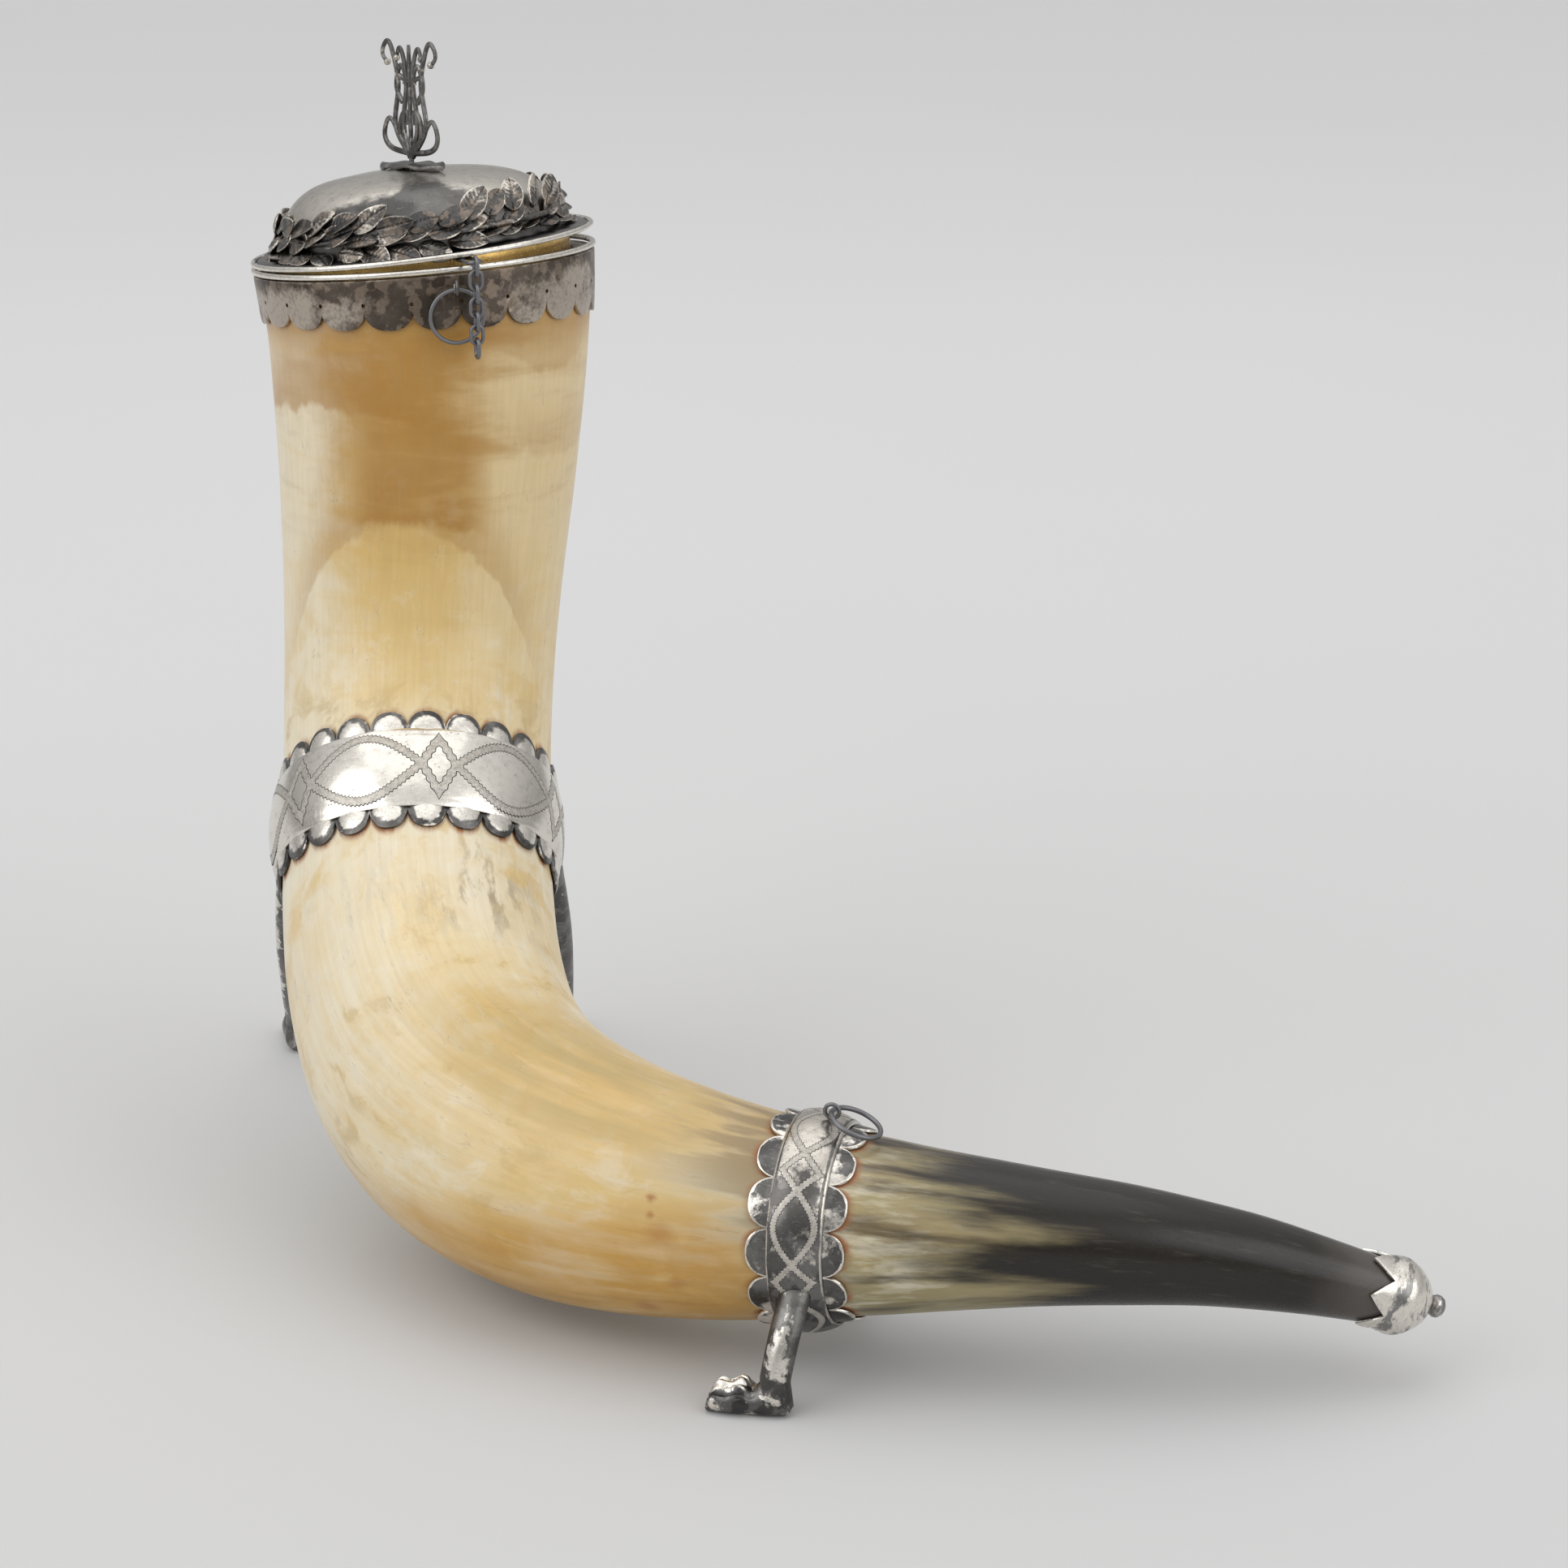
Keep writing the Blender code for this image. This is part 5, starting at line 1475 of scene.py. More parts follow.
def saddle_mesh():
    """The wavy leaf-shaped saddle and the stud that goes through the dome."""
    share = np.linspace(-1, 1, 41)[:, None]
    turn = full_turn(24)
    half = SADDLE_WIDTH / 2 * np.maximum(0.12, np.maximum(np.cos(share * math.pi / 2), 0.0) ** 0.7)
    rise = SADDLE_SHEET / 2 - 0.0004 * np.clip(share, 0, 1) ** 2
    across = np.cos(turn)
    rise = rise + 0.0007 * share**2 * across + 0.0004 * np.sin(3 * math.pi * share) * np.abs(across)
    y = half * np.sign(across) * np.abs(across) ** 0.6
    z = rise + SADDLE_SHEET / 2 * np.sign(np.sin(turn)) * np.abs(np.sin(turn)) ** 0.6
    grid = np.stack([share * SADDLE_LENGTH / 2 * np.ones_like(turn), y, z], axis=-1)
    place = finial_foot()
    plate = grid_mesh("plate", moved(place, grid), straight=grid, wear=0.25)
    depth = LID_SHEET + NUT_HEIGHT + 4 * GAP
    line = moved(place, [(0, 0, height) for height in (SADDLE_SHEET / 2, -depth / 2, -depth)])
    through = finial_seat().to_3x3() @ Vector((0, 1, 0))
    stud = tube_mesh("stud", line, STUD_RADIUS, closed=False, normal=through, wear=0.3)
    return joined("finial_saddle_fine", [plate, stud])


def nut_mesh():
    """The six-sided nut under the dome."""
    top = -2 * GAP - LID_SHEET
    low = top - NUT_HEIGHT
    bore = STUD_RADIUS + GAP
    ring = [(NUT_RADIUS - 0.0004, top), (NUT_RADIUS, top - 0.0003), (NUT_RADIUS, low + 0.0003)]
    ring += [(NUT_RADIUS - 0.0004, low), (bore, low), (bore, top)]
    return turned_mesh("finial_nut_fine", ring, finial_foot(), 6, wear=0.5)


# Chain and rings


def chain_places():
    """Matrix of the long eye on the lid's sleeve, its reach, and the matrices of the links under it."""
    _, _, ring_front = eye_and_ring()
    outward = round_mouth(CHAIN_TURN)
    reach_out = ring_front + CHAIN_CLEARANCE + LINK_WIRE + LINK_HALF_WIDTH
    start = COLLAR_INNER - BEZEL_CLEARANCE + GAP + LINK_WIRE
    height = -(LID_WIRE + GAP + LINK_WIRE)
    eye = lid_matrix() @ basis(outward * reach_out + UP * height, UP.cross(outward), outward)
    out = lid_matrix().to_3x3() @ outward
    out = (out - UP * out.z).normalized()
    across = UP.cross(out)
    hang = 2 * LINK_WIRE + GAP
    pin = eye.translation.copy()
    links = []
    for number in range(CHAIN_LINKS):
        wide = out if number % 2 == 0 else across
        links.append(basis(pin + UP * hang, wide, UP))
        pin = pin + UP * (hang - LINK_REACH)
    return eye, reach_out - start, links


def tail_ring_places():
    """Matrices of the eye on top of the tail band and of the ring that lies back from it."""
    at = TAIL_MOUNT["at"] + TAIL_EYE_SHIFT
    turn = AXIS.turn_of(at, np.array(UP))
    centre, along, _, _ = AXIS.frames(at)
    out = unit(AXIS.place(at, turn, 1.0) - centre)
    share = 2 * TAIL_EYE_SHIFT / TAIL_MOUNT["width"]
    band = AXIS.radius(at) + 2 * GAP + STRIP_SHEET + BAND_SHEET + TAIL_MOUNT["crown"] * (1 - share**2)
    eye = centre + out * (band + GAP + EYE_RADIUS + EYE_WIRE)
    rest = at + 2 * TAIL_RING_RADIUS
    surface = AXIS.place(rest, turn, AXIS.radius(rest) + 2 * GAP + STRIP_SHEET + TAIL_RING_WIRE)
    slope = unit(surface - eye)
    across = np.cross(along, out)
    flat = np.cross(across, slope) * -1
    return basis(eye, along, across), basis(eye + slope * TAIL_RING_RADIUS, slope, flat)


def wire_mesh(name, matrix, path, wire, wear):
    """A bent wire that is rubbed on one side of its section."""
    worn = wear + 0.18 * np.cos(full_turn(WIRE_SIDES))
    return tube_mesh(name, moved(matrix, path), wire, sides=WIRE_SIDES, wear=worn)


# Mounts round the horn


def band_place(mount, share, turn):
    """Distance and outer radius of a band at a share of its half width, which is the same all round it."""
    s = mount["at"] + mount["width"] / 2 * share / AXIS.give(mount["at"], turn)
    base = GAP + STRIP_SHEET + GAP + BAND_SHEET
    return s, AXIS.radius(s) + base + mount["crown"] * (1 - share * share)


def band_top(mount):
    return float(AXIS.radius(mount["at"])) + GAP + STRIP_SHEET + GAP + BAND_SHEET + mount["crown"]


def strip_mesh(name, mount, dome):
    """The scalloped strip under a band: each lobe is domed out and keeps a flat rim."""
    turn, across = lobe_columns(mount["lobes"], 24)
    give = AXIS.give(mount["at"], turn)
    half = mount["width"] / 2
    lobe = mount["lobe"] * np.maximum(lobe_share(across), 0.015)
    rows = []
    shares = np.linspace(1.0, 0.0, 13)
    for side, order in ((-1, shares), (1, shares[::-1])):
        for share in order:
            s = mount["at"] + side * (half + lobe * share) / give
            middle = np.sqrt(across**2 + (share * lobe_share(across)) ** 2)
            swell = np.clip(1 - (middle / 0.86) ** 2, 0.0, 1.0) ** 0.7
            rolled = 0.0002 * np.clip((share - 0.94) / 0.06, 0, 1)
            top = AXIS.radius(s) + GAP + STRIP_SHEET + dome * swell - rolled
            rim = np.clip((middle - 0.93) / 0.05, 0, 1)
            rows.append((s, top, 0.05 + mount["shine"] * swell + mount["rim"] * rim))
    for side, share in ((1, 1.0), (1, 0.0), (-1, 0.0), (-1, 1.0)):
        s = mount["at"] + side * (half + lobe * share) / give
        rows.append((s, AXIS.radius(s) + GAP, np.zeros_like(turn)))
    s, radius, wear = (np.array([row[column] for row in rows]) for column in range(3))
    return wrapped_mesh(name, s, turn, radius, True, wear=wear)


def band_mesh(name, mount, columns):
    turn = full_turn(columns)
    share = np.linspace(-1, 1, 33)
    s, outer = band_place(mount, share[:, None], turn)
    groove = 0.00016 * (np.exp(-(((np.abs(share) - 0.86) / 0.025) ** 2)))
    outer = outer - (groove + 0.00025 * np.clip((np.abs(share) - 0.96) / 0.04, 0, 1))[:, None]
    under = s[[-1, len(share) // 2, 0]]
    rubbed = 0.3 + 0.25 * np.clip((np.abs(share) - 0.9) / 0.1, 0, 1) - groove * 2500
    worn = np.concatenate([rubbed, np.zeros(len(under))])
    # Painted highlight and shade: the band is brighter towards one turn and darker on the far side.
    polish, bright_turn = mount["polish"]
    worn = worn[:, None] + polish * np.cos(turn - bright_turn)
    radius = np.concatenate([outer, AXIS.radius(under) + 2 * GAP + STRIP_SHEET])
    s = np.concatenate([s, under])
    return wrapped_mesh(name, s, turn, radius, True, wear=worn)


def ribbon_mesh(name, mount, ribbon, sign):
    """An engraved ribbon that waves round a band, with toothed edges and one side of each wave pointed."""
    keys = ("width", "periods", "start", "cross", "swing")
    width, periods, start, cross, swing = (ribbon[key] for key in keys)
    q = np.linspace(-1, 1, RIBBON_STEPS, endpoint=False)
    point = -RIBBON_POINT * (np.abs(q) - cross) / (1 - cross)
    wave = np.where(np.abs(q) <= cross, np.cos(math.pi * q / (2 * cross)), point)
    wave = np.tile(wave, periods) * sign
    turn = start + (np.arange(periods)[:, None] + (q + 1)[None, :] / 2).ravel() * math.tau / periods
    half = mount["width"] / 2
    middle = band_top(mount)
    flat = np.stack([turn * middle, wave * swing * half], axis=-1)
    after = np.roll(flat, -1, axis=0)
    before = np.roll(flat, 1, axis=0)
    after[-1, 0] += math.tau * middle
    before[0, 0] -= math.tau * middle
    ahead = unit(after - before)
    normal = np.stack([-ahead[:, 1], ahead[:, 0]], axis=-1)
    bend = np.abs(np.sum(unit(after - flat) * unit(flat - before), axis=-1))
    mitre = 1 / np.sqrt(np.clip((1 + bend) / 2, 0.3, 1.0))
    teeth = np.where(np.arange(len(turn)) % 2 == 0, RIBBON_TOOTH, -RIBBON_TOOTH) * width
    rows = []
    lanes = (-1.0, -0.72, 0.0, 0.72, 1.0)
    for across in lanes:
        reach = (across * width / 2 + np.sign(across) * teeth * (abs(across) > 0.5)) * mitre
        place = flat + normal * reach[:, None]
        share = np.clip(place[:, 1] / half, -0.97, 0.97)
        s, radius = band_place(mount, share, place[:, 0] / middle)
        rows.append((s, place[:, 0] / middle, radius + RIBBON_LIFT * (1.0 if abs(across) < 0.9 else 0.3)))
    under = [(s, angle, radius - 0.0004) for s, angle, radius in (rows[-1], rows[0])]
    s, angle, radius = (np.array([row[column] for row in rows + under]) for column in range(3))
    lane = np.array((*lanes, 1, -1), float)[:, None] * np.ones_like(turn)
    return wrapped_mesh(name, s, angle, radius, True, lane=lane)


# Paw feet


# Share of the paw's length, centre height, half width, half height, lean, depth of the toe grooves, knuckle
PAW_RINGS = (
    (0.24, 0.50, 0.32, 0.64, 1.05, 0.00, 0.00),
    (0.38, 0.40, 0.34, 0.47, 0.55, 0.01, 0.00),
    (0.50, 0.36, 0.38, 0.38, 0.15, 0.08, 0.05),
    (0.62, 0.38, 0.42, 0.42, 0.02, 0.17, 0.20),
    (0.76, 0.35, 0.44, 0.40, -0.10, 0.21, 0.08),
    (0.88, 0.34, 0.43, 0.38, -0.16, 0.23, 0.14),
    (0.95, 0.32, 0.40, 0.36, -0.20, 0.22, 0.06),
)
PAW_STEPS = 34
PAW_SHARES = np.linspace(PAW_RINGS[0][0], PAW_RINGS[-1][0], PAW_STEPS)
# Points round a leg, in degrees from its right side over its top, and the gaps between the toes
LEG_TURNS = np.linspace(0, 360, 60, endpoint=False)
TOE_GAPS = (48.0, 78.0, 108.0, 138.0)
TOE_GAP_REACH = 5.5
TOE_CUTS = sum(np.exp(-(((LEG_TURNS - middle) / TOE_GAP_REACH) ** 2)) for middle in TOE_GAPS)
LEG_CREST = np.clip(np.sin(np.radians(LEG_TURNS)), 0, 1)
LEG_STEPS = 25
# Rings that round off the top of a leg, as angles, and those of the toes' tips, as shares of the way out
LEG_TOP = (1.45, 1.2, 0.9, 0.6, 0.3)
TOE_TIPS = (0.3, 0.6, 0.82, 0.95)
# Rings between which the rub on a shank comes and goes
SHANK_RUB = (3, 9, 24, 32)
# Rings of the paw after which its crest is brightened, partly rubbed and partly a painted highlight, and the
# gaps between its toes are dark
CREST_START = 2
TOES_START = 8
HEEL_ROUND = 0.0034


def oval(centre, across, up, half_width, half_height):
    turn = np.radians(LEG_TURNS)[:, None]
    across = np.array(across)
    up = np.array(up)
    return np.array(centre) + across * np.cos(turn) * half_width + up * np.sin(turn) * half_height


def leg_rings(top, bend, heel, heading):
    """Rings down a leg's bar from its rounded top in the band to the ankle."""
    across = heading.cross(UP)
    ankle = heel + heading * PAW_LENGTH * ANKLE[0] + UP * PAW_HEIGHT * ANKLE[1]
    path = curve_through((top, top.lerp(ankle, KNEE_SHARE) + bend, ankle), LEG_STEPS)
    ahead = unit(np.gradient(path, axis=0))
    fore = unit(np.array(heading) - ahead * (ahead @ np.array(heading))[:, None])
    radii = LEG_RADIUS * (1 - LEG_TAPER * np.linspace(0, 1, LEG_STEPS))
    rings = []
    for angle in LEG_TOP:
        small = radii[0] * math.cos(angle)
        rings.append(oval(path[0] - ahead[0] * radii[0] * math.sin(angle), across, fore[0], small, small))
    for point, front, radius in zip(path, fore, radii):
        rings.append(oval(point, across, front, radius, radius))
    return rings


def paw_rings(heel, heading):
    """Rings along a paw with its knuckles and the gaps between its toes, closing at the tips of the toes."""
    across = heading.cross(UP)
    smooth = curve_through(PAW_RINGS, 400)
    rings = []
    for share in PAW_SHARES:
        row = [np.interp(share, smooth[:, 0], column) for column in smooth.T[1:]]
        height, half_width, half_height, lean, toes, knuckle = row
        centre = heel + heading * PAW_LENGTH * share + UP * PAW_HEIGHT * height
        up = (UP + heading * lean).normalized()
        ring = oval(centre, across, up, PAW_WIDTH * half_width, PAW_HEIGHT * half_height)
        groove = np.array(UP * PAW_HEIGHT + heading * PAW_LENGTH * 0.25) * toes
        raised = LEG_CREST[:, None] * np.array(UP) * PAW_HEIGHT * knuckle
        rings.append(ring - TOE_CUTS[:, None] * groove + raised)
    last = rings[-1]
    middle = last.mean(axis=0)
    end = np.array(heel + heading * PAW_LENGTH + UP * PAW_HEIGHT * 0.2)
    for share in TOE_TIPS:
        rings.append(middle + (end - middle) * share + (last - middle) * math.sqrt(1 - share**2))
    return rings


def leg_wear_and_light():
    """Rubbing and painted light over a leg's rings: rubbed on the shank's left side, brighter on the paw's
    crest as rubbing and painted highlight, and darker between the toes.
    """
    counts = (len(LEG_TOP), LEG_STEPS, PAW_STEPS, len(TOE_TIPS))
    top, shank, paw, tips = (np.full(count, level) for count, level in zip(counts, (0.05, 0.02, 0.06, 0.18)))
    worn = np.concatenate([top, shank, paw + 0.10 * PAW_SHARES, tips])[:, None]
    facing = np.clip(-np.cos(np.radians(LEG_TURNS)), 0, 1) ** 2
    rubbed = np.interp(np.arange(len(worn)), SHANK_RUB, (0.0, 1.0, 1.0, 0.0))[:, None]
    worn = worn + 0.25 * facing * rubbed
    paw_start = len(LEG_TOP) + LEG_STEPS
    # The paw's crest is brightened partly as rubbing and partly as a painted highlight.
    worn[paw_start + CREST_START :] += 0.16 * LEG_CREST**3
    worn[paw_start + TOES_START :] -= 0.20 * np.clip(TOE_CUTS, 0, 1)
    return worn


def leg_mesh(name, top, bend, heel, heading):
    """A bar that springs from a band and bends forward into a knuckled paw with a rounded heel."""
    bar = leg_rings(top, bend, heel, heading)
    grid = np.array(bar + paw_rings(heel, heading))
    ahead = (grid - np.array(heel)) @ np.array(heading)
    short = np.clip(HEEL_ROUND - (ahead - ahead[len(bar) :].min()), 0, HEEL_ROUND)
    floor = HEEL_ROUND - np.sqrt(HEEL_ROUND**2 - short**2)
    height = grid[..., 2]
    grid[..., 2] = np.where(height < HEEL_ROUND, np.maximum(height, floor), height)
    return grid_mesh(name, grid, straight=grid, wear=leg_wear_and_light())


def leg_meshes(name, mount, stance):
    """The pair of legs on one band, by name."""
    centre, along, _, _ = AXIS.frames(mount["at"])
    centre = Vector(centre)
    along = Vector(along)
    radius = band_top(mount)
    heading = -Vector((along.x, along.y, 0)).normalized()
    right = heading.cross(UP)
    legs = {}
    for side, word in ((1, "right"), (-1, "left")):
        out = right * side
        fall = (along.cross(out) * side).normalized()
        fall = fall if fall.z < 0 else -fall
        rim = out * math.cos(stance["below"]) + fall * math.sin(stance["below"])
        top = centre + rim * (radius - LEG_SINK)
        heel = centre + out * (radius + stance["splay"]) + heading * stance["rake"]
        heel = Vector((heel.x, heel.y, 0))
        bend = out * stance["bulge"]
        legs[f"{name}_leg_{word}"] = leg_mesh(f"{name}_leg_{word}_fine", top, bend, heel, heading)
    return legs


# Tip cap


CAP_POLE = HORN_END + CAP_SHEET + GAP + CAP_NOSE


def cap_mesh():
    """The cap: pointed petals along its edge, a plain body and a rounded nose."""
    root = CAP_POLE - CAP_LENGTH + CAP_PETAL
    inner_end = HORN_END + GAP
    turn = full_turn(CAP_PETALS * 24)
    petal = np.abs(((turn * CAP_PETALS / math.tau) % 1.0) * 2 - 1)
    edge = root - CAP_PETAL * petal**0.92
    body = float(AXIS.radius(root)) + GAP + CAP_SHEET
    rows = [
        (inner_end, 0.001, 0.0),
        (inner_end, AXIS.radius(inner_end) + GAP, 0.0),
        (root, AXIS.radius(root) + GAP, 0.0),
        (edge, AXIS.radius(edge) + GAP, 0.1),
    ]
    for share in np.linspace(0, 1, 10):
        s = edge + (root - edge) * share
        sheet = CAP_SHEET * (0.8 + 0.2 * min(1, share * 8))
        rows.append((s, AXIS.radius(s) + GAP + sheet, 0.75 - 0.2 * share))
    outline = [(0, body), (0.35, body * 1.05), (0.68, body * 0.82), (0.90, body * 0.48), (1, 0.0006)]
    for share, radius in curve_through(outline, 26)[1:]:
        rows.append((root + (CAP_POLE - root) * share, max(radius, 0.0005), 0.5))
    s, radius, wear = (np.array([row[column] * np.ones_like(turn) for row in rows]) for column in range(3))
    return wrapped_mesh("tip_cap_fine", s, turn, radius, False, wear=wear)


def button_mesh():
    """The flattened button on the cap's nose."""
    centre, along, _, _ = AXIS.frames(CAP_POLE + BUTTON_SEAT)
    knob = [(radius * BUTTON_RADIUS, height * BUTTON_RADIUS) for radius, height in KNOB_OUTLINE]
    return turned_mesh("tip_button_fine", knob, basis(centre, UP, along), 40, wear=0.35)


# Operators


def add_wire(node, matrix, path, wire, material, body, slot, wear=0.35):
    """Puts a bent wire in the scene as the piece that stands for a node."""
    name = f"{node}_fine"
    add_piece(name, wire_mesh(name, matrix, path, wire, wear), material, body, slot, node)


class HORN_OT_body(Operator):
    """Build the horn itself."""

    bl_idname = "drinking_horn.body"
    bl_label = "Horn Body"

    def execute(self, context):
        add_piece("horn_body_fine", horn_mesh(), horn_material(), "horn", "horn", "horn_body")
        return {"FINISHED"}


class HORN_OT_mouth_mount(Operator):
    """Build the scalloped collar and the bead round the mouth."""

    bl_idname = "drinking_horn.mouth_mount"
    bl_label = "Mouth Mount"

    def execute(self, context):
        metal = settings().metal
        worn = silver(
            "collar_silver",
            0.25,
            patch=130.0,
            soft=0.17,
            rough=0.26,
            stain=0.45,
            bright=blend(metal.rubbed, metal.rose, 0.50),
            dark=metal.collar,
            film=metal.rose,
        )
        add_piece("mouth_collar_fine", collar_mesh(), worn, "horn", "tarnished_silver", "mouth_collar")
        matrix = mouth_matrix() @ Matrix.Translation(UP * BEAD_HEIGHT)
        path = ring_path(BEAD_RADIUS, 256)
        add_wire("rim_bead", matrix, path, BEAD_WIRE, bead_silver(), "horn", "polished_silver", wear=0.6)
        return {"FINISHED"}


class HORN_OT_lid(Operator):
    """Build the domed lid with its edge wire and its gilt sleeve."""

    bl_idname = "drinking_horn.lid"
    bl_label = "Lid"

    def execute(self, context):
        metal = settings().metal
        dark = silver(
            "lid_silver", 0.18, patch=46.0, soft=0.08, rough=0.20, stain=0.25, bump=0.10, bright=metal.rubbed
        )
        add_piece("lid_shell_fine", lid_shell_mesh(), dark, "lid", "tarnished_silver", "lid_shell")
        path = ring_path(BEAD_RADIUS, 256)
        bright = bead_silver()
        add_wire("lid_edge_wire", lid_matrix(), path, LID_WIRE, bright, "lid", "polished_silver", wear=0.45)
        shade = blend(metal.gilt, (0, 0, 0), 0.75)
        gold = silver("gilding", 0.05, patch=45.0, soft=0.15, bright=metal.gilt, dark=shade)
        add_piece("lid_bezel_fine", lid_bezel_mesh(), gold, "lid", "gilt_silver", "lid_bezel")
        return {"FINISHED"}


class HORN_OT_wreath(Operator):
    """Build the laurel wreath on the lid."""

    bl_idname = "drinking_horn.wreath"
    bl_label = "Wreath"

    def execute(self, context):
        metal = settings().metal
        leaves = silver(
            "wreath_silver",
            0.12,
            patch=190.0,
            soft=0.08,
            stain=0.40,
            bump=0.6,
            bright=blend(metal.bright, metal.rose, 0.35),
            film=metal.rose,
        )
        add_piece("wreath_fine", wreath_mesh(), leaves, "lid", "tarnished_silver", "wreath", smooth_angle=70)
        return {"FINISHED"}


class HORN_OT_finial(Operator):
    """Build the scroll finial with its saddle and nut."""

    bl_idname = "drinking_horn.finial"
    bl_label = "Finial"

    def execute(self, context):
        rubbed = settings().metal.rubbed
        dark = silver("finial_silver", 0.30, patch=150.0, soft=0.10, rough=0.26, stain=0.5, bright=rubbed)
        add_piece("finial_scrolls_fine", scroll_mesh(), dark, "lid", "tarnished_silver", "finial_scrolls")
        add_piece("finial_saddle_fine", saddle_mesh(), dark, "lid", "tarnished_silver", "finial_saddle")
        nut = nut_mesh()
        bright = bead_silver()
        add_piece("finial_nut_fine", nut, bright, "lid", "polished_silver", "finial_nut", smooth_angle=20)
        return {"FINISHED"}


class HORN_OT_chain(Operator):
    """Build the keeper chain, the hanging rings and their eyes."""

    bl_idname = "drinking_horn.chain"
    bl_label = "Chain and Rings"

    def execute(self, context):
        metal = settings().metal
        dark = silver("dark_wire", 0.48, patch=200.0, soft=0.10, bright=metal.rose, dark=metal.wire)
        eye, ring, _ = eye_and_ring()
        small = ring_path(EYE_RADIUS, 48)
        add_wire("mouth_eye", eye, small, EYE_WIRE, bead_silver(), "horn", "polished_silver", wear=0.5)
        path = ring_path(MOUTH_RING_RADIUS, 96)
        add_wire("mouth_ring", ring, path, MOUTH_RING_WIRE, dark, "mouth_ring", "dark_wire")
        long_eye, reach, links = chain_places()
        path = stadium_path(reach, LINK_HALF_WIDTH)
        add_wire("lid_eye", long_eye, path, LINK_WIRE, dark, "lid", "dark_wire")
        path = stadium_path(LINK_REACH, LINK_HALF_WIDTH)
        for number, place in enumerate(links, start=1):
            add_wire(f"chain_link_{number}", place, path, LINK_WIRE, dark, f"chain_{number}", "dark_wire")
        eye, ring = tail_ring_places()
        add_wire("tail_eye", eye, small, EYE_WIRE, dark, "horn", "tarnished_silver")
        path = ring_path(TAIL_RING_RADIUS, 96)
        add_wire("tail_ring", ring, path, TAIL_RING_WIRE, dark, "tail_ring", "dark_wire")
        return {"FINISHED"}


def add_mount(name, mount, ribbon, band, strip, engraved, dome, columns):
    """A scalloped strip, its band and the two ribbons engraved on the band."""
    mesh = strip_mesh(f"{name}_strip_fine", mount, dome)
    add_piece(f"{name}_strip_fine", mesh, strip, "horn", "tarnished_silver", f"{name}_strip")
    mesh = band_mesh(f"{name}_band_fine", mount, columns)
    add_piece(f"{name}_band_fine", mesh, band, "horn", "polished_silver", f"{name}_band")
    for sign, word in ((1, "upper"), (-1, "lower")):
        mesh = ribbon_mesh(f"{name}_ribbon_{word}", mount, ribbon, sign)
        add_piece(f"{name}_ribbon_{word}", mesh, engraved, "horn", "polished_silver")


class HORN_OT_mid_mount(Operator):
    """Build the mid mount: a scalloped strip under a bright engraved band."""

    bl_idname = "drinking_horn.mid_mount"
    bl_label = "Mid Mount"

    def execute(self, context):
        metal = settings().metal
        detail = settings().detail
        band = silver("mid_band_silver", -0.26, patch=48.0, soft=0.10, rough=0.12, dark=metal.haze, bump=0.16)
        strip = silver("mid_strip_silver", 0.12, patch=110.0, soft=0.07, rough=0.20, stain=0.4)
        engraved = ribbon_silver("mid_ribbon_silver", blend(metal.rubbed, metal.bright, 0.45), metal.tarnish)
        ribbon = {**MID_RIBBON, "width": detail.ribbon}
        add_mount("mid", MID_MOUNT, ribbon, band, strip, engraved, detail.lobe_dome, 288)
        return {"FINISHED"}


class HORN_OT_tail_mount(Operator):
    """Build the tail mount: a smaller strip and band, darker than the mid mount."""

    bl_idname = "drinking_horn.tail_mount"
    bl_label = "Tail Mount"

    def execute(self, context):
        metal = settings().metal
        detail = settings().detail
        band = silver("tail_band_silver", 0.25, patch=75.0, rough=0.20, stain=0.5, bright=metal.rubbed)
        strip = silver("tail_strip_silver", 0.00, patch=70.0, soft=0.04, rough=0.20, stain=0.3)
        engraved = ribbon_silver("tail_ribbon_silver", blend(metal.rubbed, metal.bright, 0.35), metal.tarnish)
        ribbon = {**TAIL_RIBBON, "width": detail.ribbon * 0.72}
        add_mount("tail", TAIL_MOUNT, ribbon, band, strip, engraved, detail.lobe_dome * 0.35, 192)
        return {"FINISHED"}


class HORN_OT_paw_feet(Operator):
    """Build the four legs with their paws."""

    bl_idname = "drinking_horn.paw_feet"
    bl_label = "Paw Feet"

    def execute(self, context):
        worn = silver("paw_silver", 0.08, patch=105.0, soft=0.04, stain=0.5)
        legs = leg_meshes("rear", MID_MOUNT, REAR_STANCE)
        legs.update(leg_meshes("front", TAIL_MOUNT, FRONT_STANCE))
        for node, mesh in legs.items():
            add_piece(f"{node}_fine", mesh, worn, "horn", "tarnished_silver", node)
        return {"FINISHED"}


class HORN_OT_tip_cap(Operator):
    """Build the petalled cap and button on the tip."""

    bl_idname = "drinking_horn.tip_cap"
    bl_label = "Tip Cap"

    def execute(self, context):
        haze = settings().metal.haze
        bright = silver("cap_silver", 0.34, patch=95.0, rough=0.20, stretch=CAP_SWIRL, dark=haze)
        add_piece("tip_cap_fine", cap_mesh(), bright, "horn", "polished_silver", "tip_cap")
        add_piece("tip_button_fine", button_mesh(), bright, "horn", "polished_silver", "tip_button")
        return {"FINISHED"}


def add_light(name, place, target, size, power):
    data = bpy.data.lights.new(name, "AREA")
    data.shape = "DISK"
    data.size = size
    data.energy = power
    light = bpy.data.objects.new(name, data)
    light.location = place
    light.rotation_euler = (Vector(target) - light.location).to_track_quat("-Z", "Y").to_euler()
    bpy.context.scene.collection.objects.link(light)


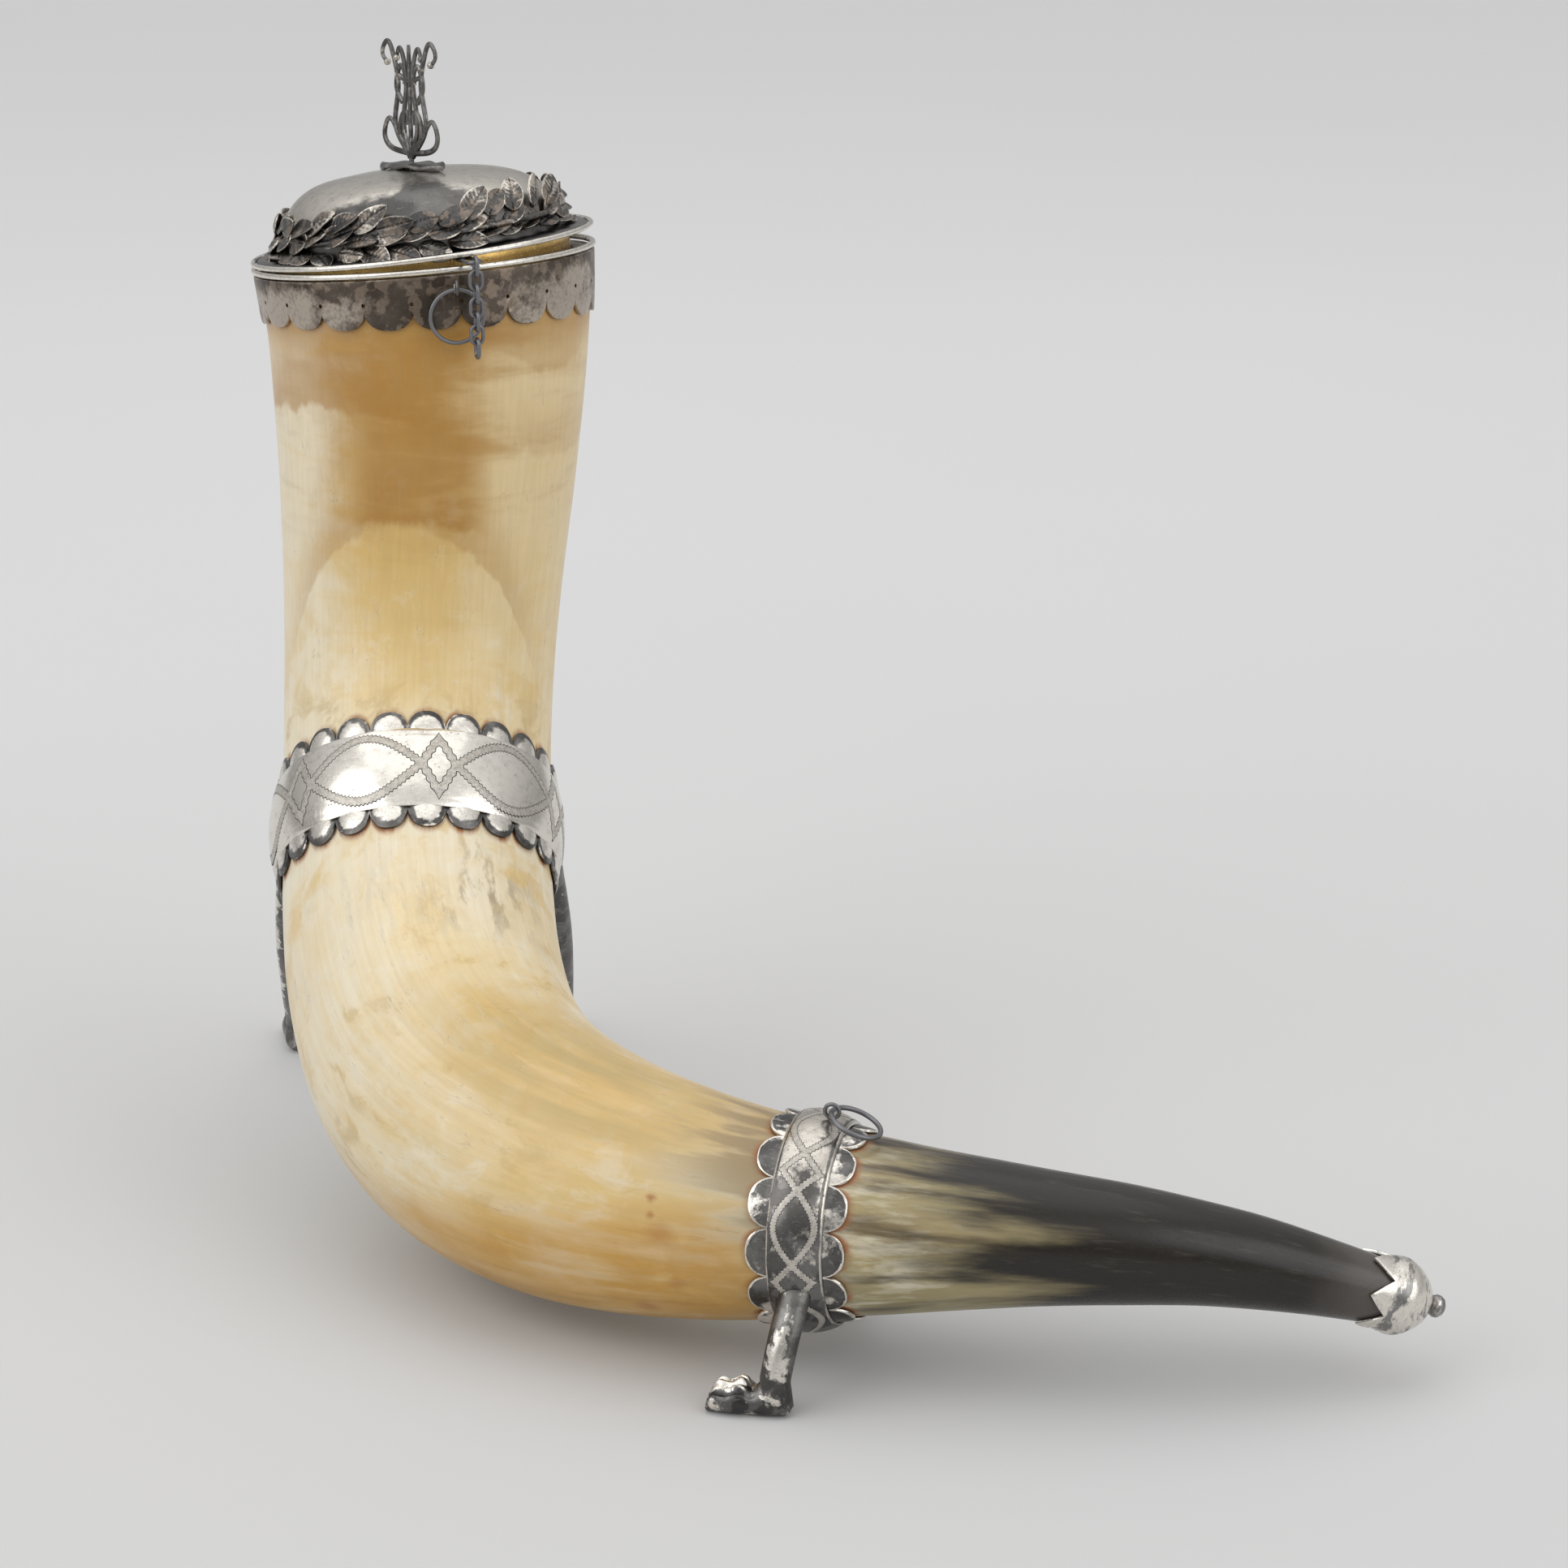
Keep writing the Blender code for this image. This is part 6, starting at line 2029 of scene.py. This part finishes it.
def add_floor():
    """The floor and backdrop, which the camera and reflections see a little brighter far away."""
    stage = settings().stage
    bpy.ops.mesh.primitive_circle_add(vertices=96, radius=FLOOR_RADIUS, fill_type="NGON")
    floor = bpy.context.object
    floor.name = "floor"
    material, graph, shader = new_material("floor_paper")
    place = graph.add("ShaderNodeTexCoord").outputs["Object"]
    tint = graph.noise(place, 3.0, detail=2.0)
    colour = graph.mix(tint, stage.floor, tuple(value * 0.97 for value in stage.floor))
    graph.feed(shader.inputs["Base Color"], colour)
    shader.inputs["Roughness"].default_value = 0.9
    shader.inputs["Specular IOR Level"].default_value = 0.1
    rays = graph.add("ShaderNodeLightPath").outputs
    seen = graph.math("MAXIMUM", rays["Is Camera Ray"], rays["Is Glossy Ray"])
    seen = graph.math("MAXIMUM", seen, rays["Is Transmission Ray"])
    far = graph.step(graph.add("ShaderNodeSeparateXYZ", {0: place}).outputs["Y"], -0.5, 1.3)
    graph.feed(shader.inputs["Emission Color"], stage.floor)
    graph.feed(shader.inputs["Emission Strength"], graph.times(seen, far, stage.glow))
    floor.data.materials.append(material)


def add_world():
    """Soft light from all round: stronger overhead, weaker in front, with a bright patch high in front."""
    sky = settings().stage.sky
    world = bpy.data.worlds.new("studio")
    bpy.context.scene.world = world
    world.use_nodes = True
    graph = Graph(world.node_tree)
    direction = graph.add("ShaderNodeTexCoord").outputs["Generated"]
    axes = graph.add("ShaderNodeSeparateXYZ", {0: direction}).outputs
    height = graph.step(axes["Z"], -0.1, 0.9)
    front = graph.step(axes["Y"], 0.2, -0.9)
    level = graph.plus(0.40, graph.times(height, 0.56))
    level = graph.less(level, graph.times(front, 0.16))
    above = graph.times(graph.hump(axes["Z"], 0.66, 0.30), front)
    level = graph.plus(level, graph.times(above, 0.50))
    background = world.node_tree.nodes["Background"]
    background.inputs["Color"].default_value = (*sky, 1.0)
    graph.feed(background.inputs["Strength"], level)


def add_camera():
    """The photograph's camera, moved with the horn."""
    data = bpy.data.cameras.new("photo_camera")
    data.sensor_width = SENSOR_WIDTH
    data.lens = FOCAL_PIXELS * SENSOR_WIDTH / PICTURE_PIXELS
    data.clip_start = 0.05
    data.dof.use_dof = False
    camera = bpy.data.objects.new("photo_camera", data)
    camera.location = Vector(CAMERA_PLACE) + Vector(AXIS.shift)
    camera.rotation_euler = (math.pi / 2 - CAMERA_DIP, 0.0, 0.0)
    bpy.context.scene.collection.objects.link(camera)
    bpy.context.scene.camera = camera


class HORN_OT_stage(Operator):
    """Set the plain floor, the studio lights and the camera."""

    bl_idname = "drinking_horn.stage"
    bl_label = "Stage"

    def execute(self, context):
        stage = settings().stage
        add_floor()
        add_world()
        for name, (place, target, size) in LAMPS.items():
            add_light(name, place, target, size, getattr(stage, name))
        add_camera()
        context.scene.view_settings.view_transform = "Standard"
        return {"FINISHED"}


OPERATORS = (
    HORN_OT_body,
    HORN_OT_mouth_mount,
    HORN_OT_lid,
    HORN_OT_wreath,
    HORN_OT_finial,
    HORN_OT_chain,
    HORN_OT_mid_mount,
    HORN_OT_tail_mount,
    HORN_OT_paw_feet,
    HORN_OT_tip_cap,
    HORN_OT_stage,
)
SETTINGS_CLASSES = (HornColours, MetalColours, DetailSizes, StageSettings, DrinkingHornSettings)


class HORN_PT_panel(Panel):
    """Lists the settings and the operators."""

    bl_label = "Drinking Horn"
    bl_space_type = "VIEW_3D"
    bl_region_type = "UI"
    bl_category = "Drinking Horn"

    def draw(self, context):
        layout = self.layout
        for group_name in ("horn", "metal", "detail", "stage"):
            group = getattr(context.scene.drinking_horn, group_name)
            box = layout.box()
            box.label(text=group_name.title())
            for key in group.__annotations__:
                box.prop(group, key)
        for operator in OPERATORS:
            layout.operator(operator.bl_idname)


def register():
    for cls in (*SETTINGS_CLASSES, *OPERATORS, HORN_PT_panel):
        bpy.utils.register_class(cls)
    bpy.types.Scene.drinking_horn = PointerProperty(
        name="Drinking Horn", description="Settings of the drinking horn", type=DrinkingHornSettings
    )


def unregister():
    del bpy.types.Scene.drinking_horn
    for cls in reversed((*SETTINGS_CLASSES, *OPERATORS, HORN_PT_panel)):
        bpy.utils.unregister_class(cls)


def main():
    register()
    for operator in OPERATORS:
        group, name = operator.bl_idname.split(".")
        getattr(getattr(bpy.ops, group), name)()


if __name__ == "__main__":
    main()
